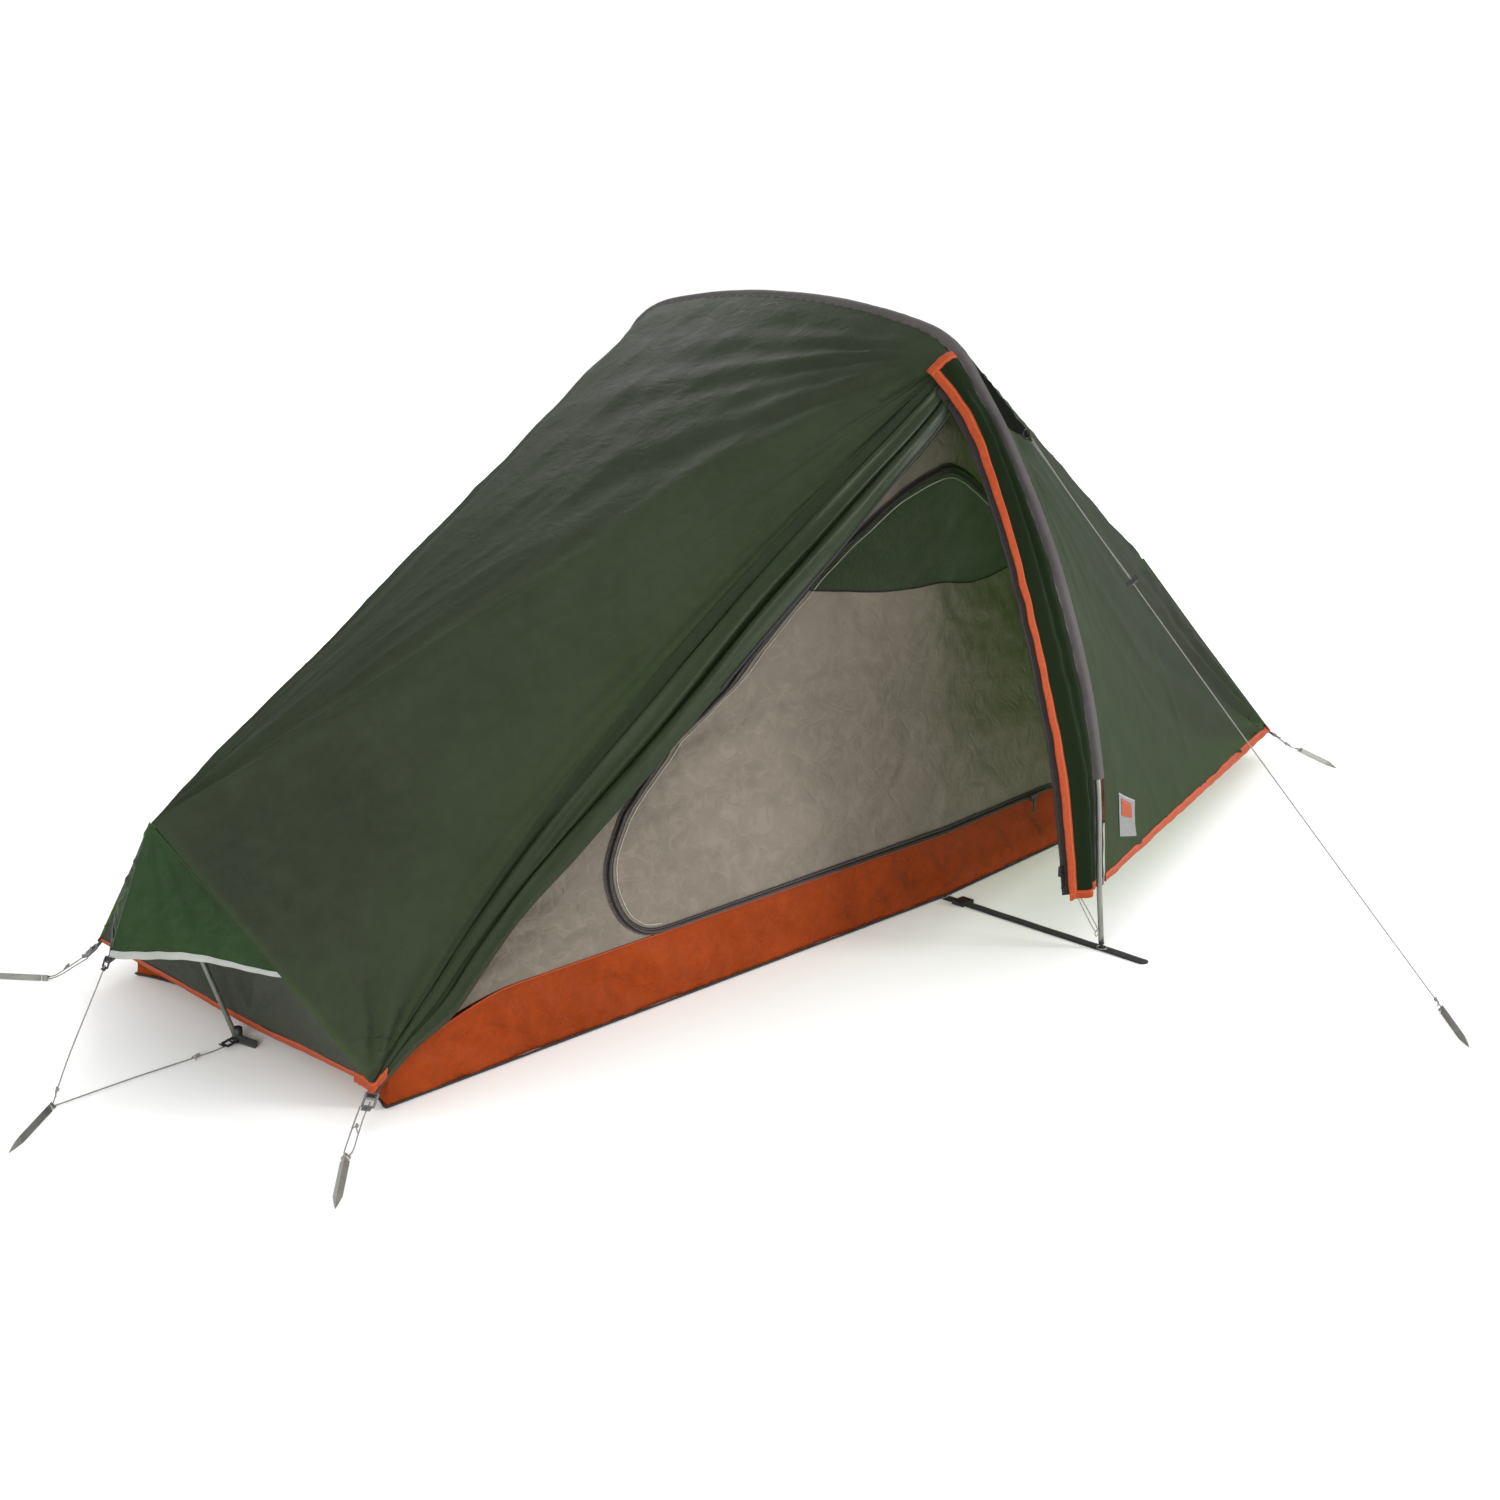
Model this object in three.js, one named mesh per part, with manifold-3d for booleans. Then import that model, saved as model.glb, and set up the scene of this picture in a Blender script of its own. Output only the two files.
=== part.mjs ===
// One-person single-hoop backpacking tent, pitched, with its fly door rolled open.
// Millimetres, +Z up. X runs along the tent, foot end -X and head end +X. Y runs across it, door side -Y.
// The origin is on the groundsheet's underside, straight below the top of the hoop.
import * as THREE from 'three';
import { mergeVertices } from 'three/addons/utils/BufferGeometryUtils.js';
import Module from 'manifold-3d';

const wasm = await Module();
wasm.setup();

// ---- driving dimensions ----
const FABRIC = 2;            // modelled thickness of a cloth panel
const SEAM_SHARE = 0.012;    // share of a panel's edge left open at each seam
const GAP = 0.4;             // clearance between solid pieces

// pole axis in the plane x = 0, as [distance from the middle, height]
const POLE_LEG = [
  [698, 0.4], [687, 110], [673, 283], [646, 408], [594, 560], [540, 677], [471, 794], [414, 872],
  [375, 920],
];
const POLE_CROWN = [[325, 951], [241, 971], [136, 985], [0, 991]];
const POLE_OUTER = 4.5;
const POLE_BORE = 3.8;
const POLE_SECTIONS = 4;
const FERRULE_RADIUS = 3.3;
const FERRULE_BORE = 2.2;
const FERRULE_LENGTH = 80;
const SHOCK_CORD_RADIUS = 1.2;
const TIP_SHOULDER = 12;     // length of a pole tip outside its section
const TIP_PLUG = 20;         // length of a pole tip inside its section
const SLEEVE_HALF_WIDTH = 14;
const SLEEVE_HALF_DEPTH = 10;
const SLEEVE_WALL = 1.5;
const SLEEVE_END_HEIGHT = 285;

// the two ends of the tent; side is the sign of x
const FOOT = {
  side: -1,
  peak: [1274, 366],
  corner: [1185, 360, 60],
  wall: { bottom: [1150, 22], corner: [1178, 350, 62], top: [1256, 348] },
  hoodTip: [1355, 192],
  hoodCorner: [1219, 212, 184],
  strut: { bottom: [1168, 2], top: [1278, 338] },
  tub: [1149, 327],
  inner: [1225, 330],
};
const HEAD = {
  side: 1,
  peak: [1118, 366],
  corner: [1094, 351, 60],
  wall: { bottom: [1076, 22], corner: [1086, 341, 62], top: [1096, 348] },
  hoodTip: [1200, 192],
  hoodCorner: [1104, 207, 184],
  strut: { bottom: [1098, 2], top: [1120, 338] },
  tub: [1035, 318],
  inner: [1062, 330],
};
const STRUT_RADIUS = 4;
const FLY_X = SLEEVE_HALF_WIDTH + 2;                       // where the fly's panels meet the sleeve
const ROLL = { end: 7, swell: 38, flatness: 0.45 };        // the rolled door's half width and its thickness
const ROLL_CLEARANCE = { end: 0.02, middle: 0.105 };       // share of the side panel left out for the roll
const FLAP = { width: 58, top: 0.03, bottom: 1 };          // the strip of door beside the hoop
const FLY_ZIP = { x: -84, y: -672, z: 150 };               // the fly door's zip slider

// inner tent
const TUB_HALF_WIDTH = 373;  // at the hoop
const TUB_HEIGHT = 113;
const TUB_CLEARANCE = 0.4;
const INNER_SHOULDER = [350, 880];
const INNER_CROWN = [[350, 880], [300, 912], [225, 932], [128, 945], [0, 951]];
const INNER_FOOTING = 118;   // height at which the inner's walls start
const DOOR_BASE = 130;
const HINGE_X = 340;
// doorway outline on the near wall, as [x, share of the wall's height]
const DOORWAY_FOOT = [
  [-700, 0.0], [-722, 0.1], [-724, 0.21], [-683, 0.35], [-620, 0.42], [-494, 0.53], [-370, 0.63],
  [-260, 0.72], [-172, 0.77], [-94, 0.81], [-20, 0.82],
];
const DOORWAY_HEAD = [
  [HINGE_X, 0.0], [HINGE_X, 0.25], [HINGE_X, 0.5], [325, 0.66], [290, 0.74], [230, 0.79], [150, 0.815],
  [80, 0.825], [10, 0.825],
];
const ZIP_RADIUS = 2.5;
const INNER_ZIP_SLIDER_X = 250;
const DOOR_EDGE = 0.025;     // gap round the door, as a share of the wall's height
const MESH_DIP = { from: -262, to: 318, rise: 0.70, dip: 0.13 };

// ground straps, line lock, pegs
const STRAP_WIDTH = 20;
const STRAP_INNER = 376;
const STRAP_OUTER = 786;
const STRAP_EYELET = 7;
const BUCKLE = { y: -400, length: 24, width: 30, height: 6, roof: 3.2 };
const CORD_RADIUS = 1;
const PEG = { length: 132, leg: 10, wall: 1.6, notch: 14, point: 22 };
const PEG_REACH = 3;                                       // from the swivel point to the peg's head
// the end of each peg's cord loop, which the peg swivels about, and its heading in degrees from +X
const PEGS = {
  peg_guy: { swivel: [160, -1206], heading: -137 },
  peg_near_foot: { swivel: [-1263, -401], heading: -131 },
  peg_far_foot: { swivel: [-1250, 412], heading: 128 },
  peg_foot_centre: { swivel: [-1459, 5], heading: -142 },
  peg_near_head: { swivel: [1183, -376], heading: -116 },
};

// cord routes
const point = (x, y, z) => new THREE.Vector3(x, y, z);
const GUY_TOP = point(40, -489, 794);
const GUY_END = point(160, -1205, 3);
const LOCK_AT = 0.255;       // the line lock's place, as a share of the guy line from the ring
const CORDS = {
  guy_line: [GUY_TOP.clone(), GUY_END.clone()],
  cord_near_foot: [
    point(-1196, -366, 44), point(-1212, -373, 31), point(-1232, -386, 16), point(-1252, -400, 4),
    point(-1262, -403, 3), point(-1261, -395, 3), point(-1244, -381, 12), point(-1222, -366, 26),
    point(-1206, -357, 38),
  ],
  cord_far_foot: [
    point(-1196, 366, 44), point(-1210, 376, 32), point(-1226, 392, 17), point(-1240, 408, 4),
    point(-1247, 414, 3), point(-1250, 405, 3), point(-1238, 390, 10), point(-1220, 372, 26),
    point(-1206, 358, 38),
  ],
  cord_foot_hood: [
    point(-1362, 0, 182), point(-1380, 2, 148), point(-1402, 4, 108), point(-1425, 5, 67),
    point(-1444, 5, 30), point(-1455, 5.5, 5.5),
  ],
  cord_foot_strut: [
    point(-1178, -6, 6), point(-1210, -5, 3), point(-1270, -1, 2), point(-1330, 2, 2),
    point(-1400, 3, 2), point(-1454, 4, 1.6),
  ],
  cord_near_head: [
    point(1106, -357, 46), point(1124, -359, 34), point(1148, -362, 18), point(1176, -364, 5),
    point(1186, -368, 3), point(1180, -374, 3), point(1158, -370, 12), point(1132, -367, 28),
    point(1112, -365, 40),
  ],
};

// ---- materials ----
function finish(color, roughness, metalness = 0) {
  return new THREE.MeshStandardMaterial({ color, roughness, metalness });
}

const FLY = finish(0x3e4630, 0.55);
const INNER = finish(0x91897a, 0.7);
const TUB = finish(0xa04623, 0.65);
const MESH = finish(0x263a1c, 0.8);
const GREY_CLOTH = finish(0x646262, 0.75);
const ZIP = finish(0x2b2422, 0.6);
const ALLOY = finish(0x8b8f88, 0.35, 0.9);
const STEEL = finish(0x9a9a98, 0.4, 0.9);
const WEBBING = finish(0x2c2d2c, 0.8);
const PLASTIC = finish(0x1c1d1e, 0.45);
const CORD = finish(0x9a9a90, 0.8);

const tent = new THREE.Group();

function add(name, geometry, material, place = new THREE.Matrix4()) {
  const mesh = new THREE.Mesh(geometry, material);
  mesh.name = name;
  place.decompose(mesh.position, mesh.quaternion, mesh.scale);
  tent.add(mesh);
  return mesh;
}

// ---- curves and surfaces ----
const spline = (points) => new THREE.CatmullRomCurve3(points);
const line = (a, b) => (t) => a.clone().lerp(b, t);
const part = (edge, from, to) => (t) => edge(from + (to - from) * t);
const ruled = (edgeA, edgeB) => (u, v) => edgeA(u).lerp(edgeB(u), v);

// straight pieces through the given points, evenly shared over 0 to 1
function polyline(points) {
  return (t) => {
    const at = Math.min(t * (points.length - 1), points.length - 1 - 1e-9);
    const first = Math.floor(at);
    return points[first].clone().lerp(points[first + 1], at - first);
  };
}

const smooth = (points) => {
  const curve = spline(points);
  return (t) => curve.getPointAt(THREE.MathUtils.clamp(t, 0, 1));
};

// a closed slab of even thickness whose middle follows surface(u, v): a front sheet, a back sheet
// with the same diagonals, and a rim between them
function panel(surface, columns, rows, thickness = FABRIC) {
  const sheet = new THREE.PlaneGeometry(1, 1, columns, rows);
  const count = sheet.attributes.position.count;
  const vertices = new Float32Array(count * 6);
  const step = 1e-3;
  for (let i = 0; i < count; i += 1) {
    const u = sheet.attributes.uv.getX(i);
    const v = sheet.attributes.uv.getY(i);
    const alongU = surface(Math.min(u + step, 1), v).sub(surface(Math.max(u - step, 0), v));
    const alongV = surface(u, Math.min(v + step, 1)).sub(surface(u, Math.max(v - step, 0)));
    const half = alongU.cross(alongV).setLength(thickness / 2);
    surface(u, v).add(half).toArray(vertices, i * 3);
    surface(u, v).sub(half).toArray(vertices, (count + i) * 3);
  }
  const faces = [];
  const front = sheet.index.array;
  for (let i = 0; i < front.length; i += 3) {
    const [a, b, c] = [front[i], front[i + 1], front[i + 2]];
    faces.push(a, b, c, count + a, count + c, count + b);
  }
  const wide = columns + 1;
  const rim = [];
  for (let i = 0; i < columns; i += 1) rim.push(i);
  for (let i = 0; i < rows; i += 1) rim.push(columns + i * wide);
  for (let i = columns; i > 0; i -= 1) rim.push(rows * wide + i);
  for (let i = rows; i > 0; i -= 1) rim.push(i * wide);
  rim.forEach((a, i) => {
    const b = rim[(i + 1) % rim.length];
    faces.push(a, b, count + a, b, count + b, count + a);
  });
  const slab = new THREE.BufferGeometry();
  slab.setAttribute('position', new THREE.BufferAttribute(vertices, 3));
  slab.setIndex(faces);
  return slab;
}

function circle(radius, bore = 0, flatten = 1) {
  const shape = new THREE.Shape();
  shape.absellipse(0, 0, radius, radius * flatten, 0, Math.PI * 2, false, 0);
  if (bore > 0) {
    const hole = new THREE.Path();
    const shrink = radius - bore;
    hole.absellipse(0, 0, bore, radius * flatten - shrink, 0, Math.PI * 2, true, 0);
    shape.holes.push(hole);
  }
  return shape;
}

// a bar of the given section along a curve
function sweep(curve, section, steps, curveSegments = 4) {
  const options = { steps, extrudePath: curve, curveSegments, bevelEnabled: false };
  return new THREE.ExtrudeGeometry(section, options);
}

// the stretch of a curve between two arc lengths
function stretch(curve, from, to, count) {
  const length = curve.getLength();
  const points = [];
  for (let i = 0; i <= count; i += 1) {
    points.push(curve.getPointAt((from + ((to - from) * i) / count) / length));
  }
  return spline(points);
}

// turns a shape made along +Y so that it starts at a and points to b
function placeAlong(a, b) {
  const turn = new THREE.Quaternion().setFromUnitVectors(point(0, 1, 0), b.clone().sub(a).normalize());
  return new THREE.Matrix4().compose(a, turn, point(1, 1, 1));
}

// ---- booleans ----
function toSolid(geometry, place = new THREE.Matrix4()) {
  const bare = geometry.clone().applyMatrix4(place);
  bare.deleteAttribute('normal');
  bare.deleteAttribute('uv');
  const merged = mergeVertices(bare, 1e-4);
  return new wasm.Manifold(new wasm.Mesh({
    numProp: 3,
    vertProperties: new Float32Array(merged.attributes.position.array),
    triVerts: new Uint32Array(merged.index.array),
  }));
}

function toGeometry(solid) {
  const mesh = solid.getMesh();
  const geometry = new THREE.BufferGeometry();
  geometry.setAttribute('position', new THREE.BufferAttribute(new Float32Array(mesh.vertProperties), 3));
  geometry.setIndex(new THREE.BufferAttribute(new Uint32Array(mesh.triVerts), 1));
  return geometry;
}

// ---- the hoop pole ----
function hoopPoints(leg, crown) {
  const near = [...leg, ...crown].map(([y, z]) => point(0, -y, z));
  const far = near.slice(0, -1).reverse().map((p) => point(0, -p.y, p.z));
  return [...near, ...far];
}

const hoop = spline(hoopPoints(POLE_LEG, POLE_CROWN));
hoop.arcLengthDivisions = 600;
const hoopLength = hoop.getLength();

function addPole() {
  const first = TIP_SHOULDER + GAP;
  const each = (hoopLength - 2 * first) / POLE_SECTIONS;
  for (let i = 0; i < POLE_SECTIONS; i += 1) {
    const from = first + each * i + (i > 0 ? GAP : 0);
    const axis = stretch(hoop, from, first + each * (i + 1), 16);
    add(`pole_section_${i + 1}`, sweep(axis, circle(POLE_OUTER, POLE_BORE), 16), ALLOY);
  }
  for (let i = 1; i < POLE_SECTIONS; i += 1) {
    const middle = first + each * i;
    const axis = stretch(hoop, middle - FERRULE_LENGTH / 2, middle + FERRULE_LENGTH / 2, 3);
    add(`pole_ferrule_${i}`, sweep(axis, circle(FERRULE_RADIUS, FERRULE_BORE), 3), STEEL);
  }
  const cordEnd = TIP_SHOULDER + TIP_PLUG + 1;
  const cordAxis = stretch(hoop, cordEnd, hoopLength - cordEnd, 70);
  add('pole_shock_cord', sweep(cordAxis, circle(SHOCK_CORD_RADIUS), 70, 3), CORD);
  const outline = [
    [0, 0], [2, 0], [3, 1.2], [3, 7], [POLE_OUTER, 8], [POLE_OUTER, TIP_SHOULDER],
    [FERRULE_RADIUS, TIP_SHOULDER], [FERRULE_RADIUS, TIP_SHOULDER + TIP_PLUG], [0, TIP_SHOULDER + TIP_PLUG],
  ];
  const tip = new THREE.LatheGeometry(outline.map(([r, y]) => new THREE.Vector2(r, y)), 10);
  const reach = (TIP_SHOULDER + TIP_PLUG) / hoopLength;
  add('pole_tip_near', tip, PLASTIC, placeAlong(hoop.getPointAt(0), hoop.getPointAt(reach)));
  add('pole_tip_far', tip, PLASTIC, placeAlong(hoop.getPointAt(1), hoop.getPointAt(1 - reach)));
}

function addSleeve() {
  const from = SLEEVE_END_HEIGHT;
  const axis = stretch(hoop, from, hoopLength - from, 48);
  const flatten = SLEEVE_HALF_DEPTH / SLEEVE_HALF_WIDTH;
  const section = circle(SLEEVE_HALF_WIDTH, SLEEVE_HALF_WIDTH - SLEEVE_WALL, flatten);
  add('pole_sleeve', sweep(axis, section, 48), GREY_CLOTH);
}

// ---- the fly ----
const crownPoints = [POLE_LEG[POLE_LEG.length - 1], ...POLE_CROWN];
const atEnd = (end, x, y, z) => point(end.side * x, y, z);
const peakOf = (end) => atEnd(end, end.peak[0], 0, end.peak[1]);
const cornerOf = (end, across) => atEnd(end, end.corner[0], across * end.corner[1], end.corner[2]);
const shoulderOf = (end, across) => atEnd(end, FLY_X, across * crownPoints[0][0], crownPoints[0][1]);

function crownEdge(end, outline, x) {
  const near = outline.map(([y, z]) => atEnd(end, x, -y, z));
  const far = near.slice(0, -1).reverse().map((p) => point(p.x, -p.y, p.z));
  return smooth([...near, ...far]);
}

function legEdge(end, across) {
  const leg = POLE_LEG.slice(1).reverse();
  return smooth(leg.map(([y, z]) => atEnd(end, FLY_X, across * y, z)));
}

// a fan from the crown of the hoop to the peak over the strut
function addFlyRoof(name, end) {
  const crown = part(crownEdge(end, crownPoints, FLY_X), SEAM_SHARE, 1 - SEAM_SHARE);
  const peak = peakOf(end);
  add(name, panel((u, v) => crown(u).lerp(peak, v * 0.96), 10, 2), FLY);
}

// from a leg of the hoop to the edge between the peak and a ground corner
function addFlySide(name, end, across) {
  const leg = part(legEdge(end, across), 2 * SEAM_SHARE, 1);
  const edge = part(line(peakOf(end), cornerOf(end, across)), 0.04, 1);
  add(name, panel((u, v) => ruled(leg, edge)(u, v * 0.985), 8, 3), FLY);
}

// beside the open door: from the ridge crease down to the rolled door
function addFlyNearFoot() {
  const shoulder = shoulderOf(FOOT, -1);
  const corner = cornerOf(FOOT, -1);
  const peak = peakOf(FOOT);
  const { end, middle } = ROLL_CLEARANCE;
  const clear = (u) => end + (middle - end) * Math.sin(Math.PI * u);
  const lower = part((u) => line(shoulder, corner)(u).lerp(peak, clear(u)), 0.05, 0.985);
  const upper = part(line(shoulder, peak), 0.06, 0.965);
  add('fly_near_foot_side', panel((u, v) => ruled(lower, upper)(u, v * 0.985), 8, 3), FLY);
}

function addFlyEnd(name, end) {
  const { bottom, corner, top } = end.wall;
  const lower = polyline([
    atEnd(end, corner[0], -corner[1], corner[2]),
    atEnd(end, bottom[0], 0, bottom[1]),
    atEnd(end, corner[0], corner[1], corner[2]),
  ]);
  const peak = atEnd(end, top[0], 0, top[1]);
  add(name, panel((u, v) => lower(u).lerp(peak, v * 0.96), 4, 2), FLY);
}

// the vent hood stands out from the end wall, its mouth facing down
function addHood(name, end) {
  const mouth = polyline([
    atEnd(end, end.hoodCorner[0], -end.hoodCorner[1], end.hoodCorner[2]),
    atEnd(end, end.hoodTip[0], 0, end.hoodTip[1]),
    atEnd(end, end.hoodCorner[0], end.hoodCorner[1], end.hoodCorner[2]),
  ]);
  const peak = peakOf(end).add(atEnd(end, 4, 0, 0));
  add(name, panel((u, v) => mouth(u).lerp(peak, v * 0.9), 4, 2), FLY);
}

// the door, rolled and tied along the line from the shoulder to the near foot corner
function addDoorRoll() {
  const start = shoulderOf(FOOT, -1).lerp(cornerOf(FOOT, -1), 0.045);
  const end = shoulderOf(FOOT, -1).lerp(cornerOf(FOOT, -1), 0.985);
  const length = start.distanceTo(end);
  const stations = 10;
  const outline = [new THREE.Vector2(0, 0)];
  for (let i = 0; i <= stations; i += 1) {
    const radius = ROLL.end + ROLL.swell * Math.sin((Math.PI * i) / stations);
    outline.push(new THREE.Vector2(radius, (length * i) / stations));
  }
  outline.push(new THREE.Vector2(0, length));
  const roll = new THREE.LatheGeometry(outline, 10).scale(1, 1, ROLL.flatness);
  const alongRoll = end.clone().sub(start).normalize();
  const toPeak = peakOf(FOOT).sub(start);
  const across = toPeak.addScaledVector(alongRoll, -toPeak.dot(alongRoll)).normalize();
  const outward = across.clone().cross(alongRoll);
  const place = new THREE.Matrix4().makeBasis(across, alongRoll, outward).setPosition(start);
  add('fly_door_roll', roll, FLY, place);
}

// the strip of door left beside the hoop, between the sleeve and the door zip
function addDoorFlap() {
  const leg = legEdge(FOOT, -1);
  const sewn = part(leg, FLAP.top, FLAP.bottom);
  const free = (t) => {
    const width = FLAP.width * Math.min(1, 0.45 + t);
    return sewn(t).add(point(-width, 10, t * -8));
  };
  add('fly_door_flap', panel(ruled(sewn, free), 10, 1), FLY);
}

function addFlyZipSlider() {
  const body = new THREE.BoxGeometry(12, 5, 16).translate(FLY_ZIP.x, FLY_ZIP.y, FLY_ZIP.z);
  const tag = new THREE.BoxGeometry(5, 2, 26).translate(FLY_ZIP.x, FLY_ZIP.y - 3, FLY_ZIP.z - 16);
  add('fly_zip_slider', toGeometry(toSolid(body).add(toSolid(tag))), PLASTIC);
}

// ---- the inner tent ----
function innerBase(end, x) {
  const share = Math.abs(x) / end.tub[0];
  return TUB_HALF_WIDTH - 2 - (TUB_HALF_WIDTH - end.tub[1]) * share;
}

// a point of a long wall: x along the tent, rise from 0 at the tub to 1 at the ridge crease
function innerWallPoint(across, x, rise) {
  const end = x < 0 ? FOOT : HEAD;
  const share = Math.min(Math.abs(x) / end.inner[0], 1);
  const base = point(x, across * innerBase(end, x), INNER_FOOTING);
  const crease = point(
    x,
    across * INNER_SHOULDER[0] * (1 - share),
    INNER_SHOULDER[1] + (end.inner[1] - INNER_SHOULDER[1]) * share,
  );
  return base.lerp(crease, rise);
}

function addGroundsheet() {
  const shape = new THREE.Shape();
  shape.moveTo(-FOOT.tub[0], -FOOT.tub[1]);
  shape.lineTo(0, -TUB_HALF_WIDTH);
  shape.lineTo(HEAD.tub[0], -HEAD.tub[1]);
  shape.lineTo(HEAD.tub[0], HEAD.tub[1]);
  shape.lineTo(0, TUB_HALF_WIDTH);
  shape.lineTo(-FOOT.tub[0], FOOT.tub[1]);
  add('groundsheet', new THREE.ExtrudeGeometry(shape, { depth: FABRIC, bevelEnabled: false }), TUB);
}

function addTub() {
  const bottom = FABRIC + TUB_CLEARANCE;
  const depth = TUB_HEIGHT - bottom;
  for (const [name, across] of [['bathtub_near', -1], ['bathtub_far', 1]]) {
    const inset = 16;
    const outer = [
      [-FOOT.tub[0] + inset, FOOT.tub[1]], [0, TUB_HALF_WIDTH], [HEAD.tub[0] - inset, HEAD.tub[1]],
    ];
    const shape = new THREE.Shape();
    shape.moveTo(outer[0][0], across * outer[0][1]);
    outer.slice(1).forEach(([x, y]) => shape.lineTo(x, across * y));
    outer.reverse().forEach(([x, y]) => shape.lineTo(x, across * (y - FABRIC)));
    const wall = new THREE.ExtrudeGeometry(shape, { depth, bevelEnabled: false });
    add(name, wall.translate(0, 0, bottom), TUB);
  }
  for (const [name, end] of [['bathtub_foot', FOOT], ['bathtub_head', HEAD]]) {
    const width = 2 * (end.tub[1] - 20);
    const wall = new THREE.BoxGeometry(FABRIC, width, depth);
    add(name, wall.translate(end.side * (end.tub[0] - FABRIC / 2), 0, bottom + depth / 2), TUB);
  }
}

const doorwayPoint = ([x, rise]) => innerWallPoint(-1, x, rise);

function addNearWall() {
  const around = 0.985;
  const footDoor = smooth(DOORWAY_FOOT.map(doorwayPoint));
  const footRim = polyline([
    innerWallPoint(-1, -1095, 0), innerWallPoint(-1, -1105, 0.45), innerWallPoint(-1, -1095, 0.96),
    innerWallPoint(-1, -840, 0.975), innerWallPoint(-1, -560, 0.975), innerWallPoint(-1, -280, 0.975),
    innerWallPoint(-1, -12, 0.975),
  ]);
  add('inner_near_foot_wall', panel((u, v) => ruled(footRim, footDoor)(u, v * around), 12, 2), INNER);
  const headDoor = smooth(DOORWAY_HEAD.map(doorwayPoint));
  const headRim = polyline([
    innerWallPoint(-1, 980, 0), innerWallPoint(-1, 990, 0.45), innerWallPoint(-1, 980, 0.96),
    innerWallPoint(-1, 690, 0.975), innerWallPoint(-1, 350, 0.975), innerWallPoint(-1, 12, 0.975),
  ]);
  add('inner_near_head_wall', panel((u, v) => ruled(headDoor, headRim)(u, v * around), 12, 2), INNER);
}

function addFarWall(name, from, to) {
  add(name, panel((u, v) => innerWallPoint(1, from + (to - from) * u, v * 0.975), 4, 3), INNER);
}

function addInnerRoof(name, end) {
  const crown = part(crownEdge(end, INNER_CROWN, 6), SEAM_SHARE, 1 - SEAM_SHARE);
  const peak = atEnd(end, end.inner[0], 0, end.inner[1]);
  add(name, panel((u, v) => crown(u).lerp(peak, v * 0.95), 8, 2), INNER);
}

function addInnerEnd(name, end) {
  const half = end.tub[1] - 40;
  const foot = (y) => atEnd(end, end.tub[0] - 1, y, INNER_FOOTING);
  const base = line(foot(-half), foot(half));
  const peak = atEnd(end, end.inner[0], 0, end.inner[1]);
  add(name, panel((u, v) => base(u).lerp(peak, v * 0.9), 2, 2), INNER);
}

// the D-shaped door: cloth below, an insect-mesh half moon above, both turning on the edge at HINGE_X
const doorTop = (x) => {
  const outline = [...DOORWAY_FOOT, ...[...DOORWAY_HEAD].reverse()];
  const next = outline.findIndex((p, i) => i > 2 && p[0] >= x);
  const [a, b] = [outline[next - 1], outline[next]];
  return a[1] + ((b[1] - a[1]) * (x - a[0])) / (b[0] - a[0]);
};
const meshLine = (x) => {
  const t = (x - MESH_DIP.from) / (MESH_DIP.to - MESH_DIP.from);
  return MESH_DIP.rise - MESH_DIP.dip * Math.sin(Math.PI * THREE.MathUtils.clamp(t, 0, 1));
};

function addInnerDoor() {
  const baseRise = (DOOR_BASE - INNER_FOOTING) / (INNER_SHOULDER[1] - INNER_FOOTING);
  const clothTop = (x) => {
    const inMesh = x > MESH_DIP.from && x < MESH_DIP.to;
    return Math.min(doorTop(x) - DOOR_EDGE, inMesh ? meshLine(x) : 1);
  };
  const left = -700;
  const right = HINGE_X - 8;
  const cloth = (u, v) => {
    const x = left + (right - left) * u;
    const low = baseRise * (1 + Math.abs(Math.min(x, 0)) / 900);
    return innerWallPoint(-1, x, low + (clothTop(x) - low) * v);
  };
  add('inner_door', panel(cloth, 14, 3), INNER);
  const net = (u, v) => {
    const x = MESH_DIP.from + 12 + (MESH_DIP.to - 24 - MESH_DIP.from) * u;
    const low = meshLine(x) + 0.008;
    return innerWallPoint(-1, x, low + (doorTop(x) - DOOR_EDGE - low) * v);
  };
  add('inner_door_mesh', panel(net, 8, 2), MESH);
}

// ---- ground straps and struts ----
function addStrap(name, across) {
  const half = STRAP_WIDTH / 2;
  const shape = new THREE.Shape();
  shape.moveTo(-half, STRAP_INNER);
  shape.lineTo(half, STRAP_INNER);
  shape.lineTo(half, STRAP_OUTER - half);
  shape.absarc(0, STRAP_OUTER - half, half, 0, Math.PI, false);
  shape.closePath();
  const eyelet = new THREE.Path();
  eyelet.absarc(0, POLE_LEG[0][0], STRAP_EYELET, 0, Math.PI * 2, true);
  shape.holes.push(eyelet);
  const turn = new THREE.Matrix4().makeRotationZ(across < 0 ? Math.PI : 0);
  const strap = new THREE.ExtrudeGeometry(shape, { depth: 1.6, bevelEnabled: false, curveSegments: 6 });
  add(name, strap, WEBBING, turn);
}

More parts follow.
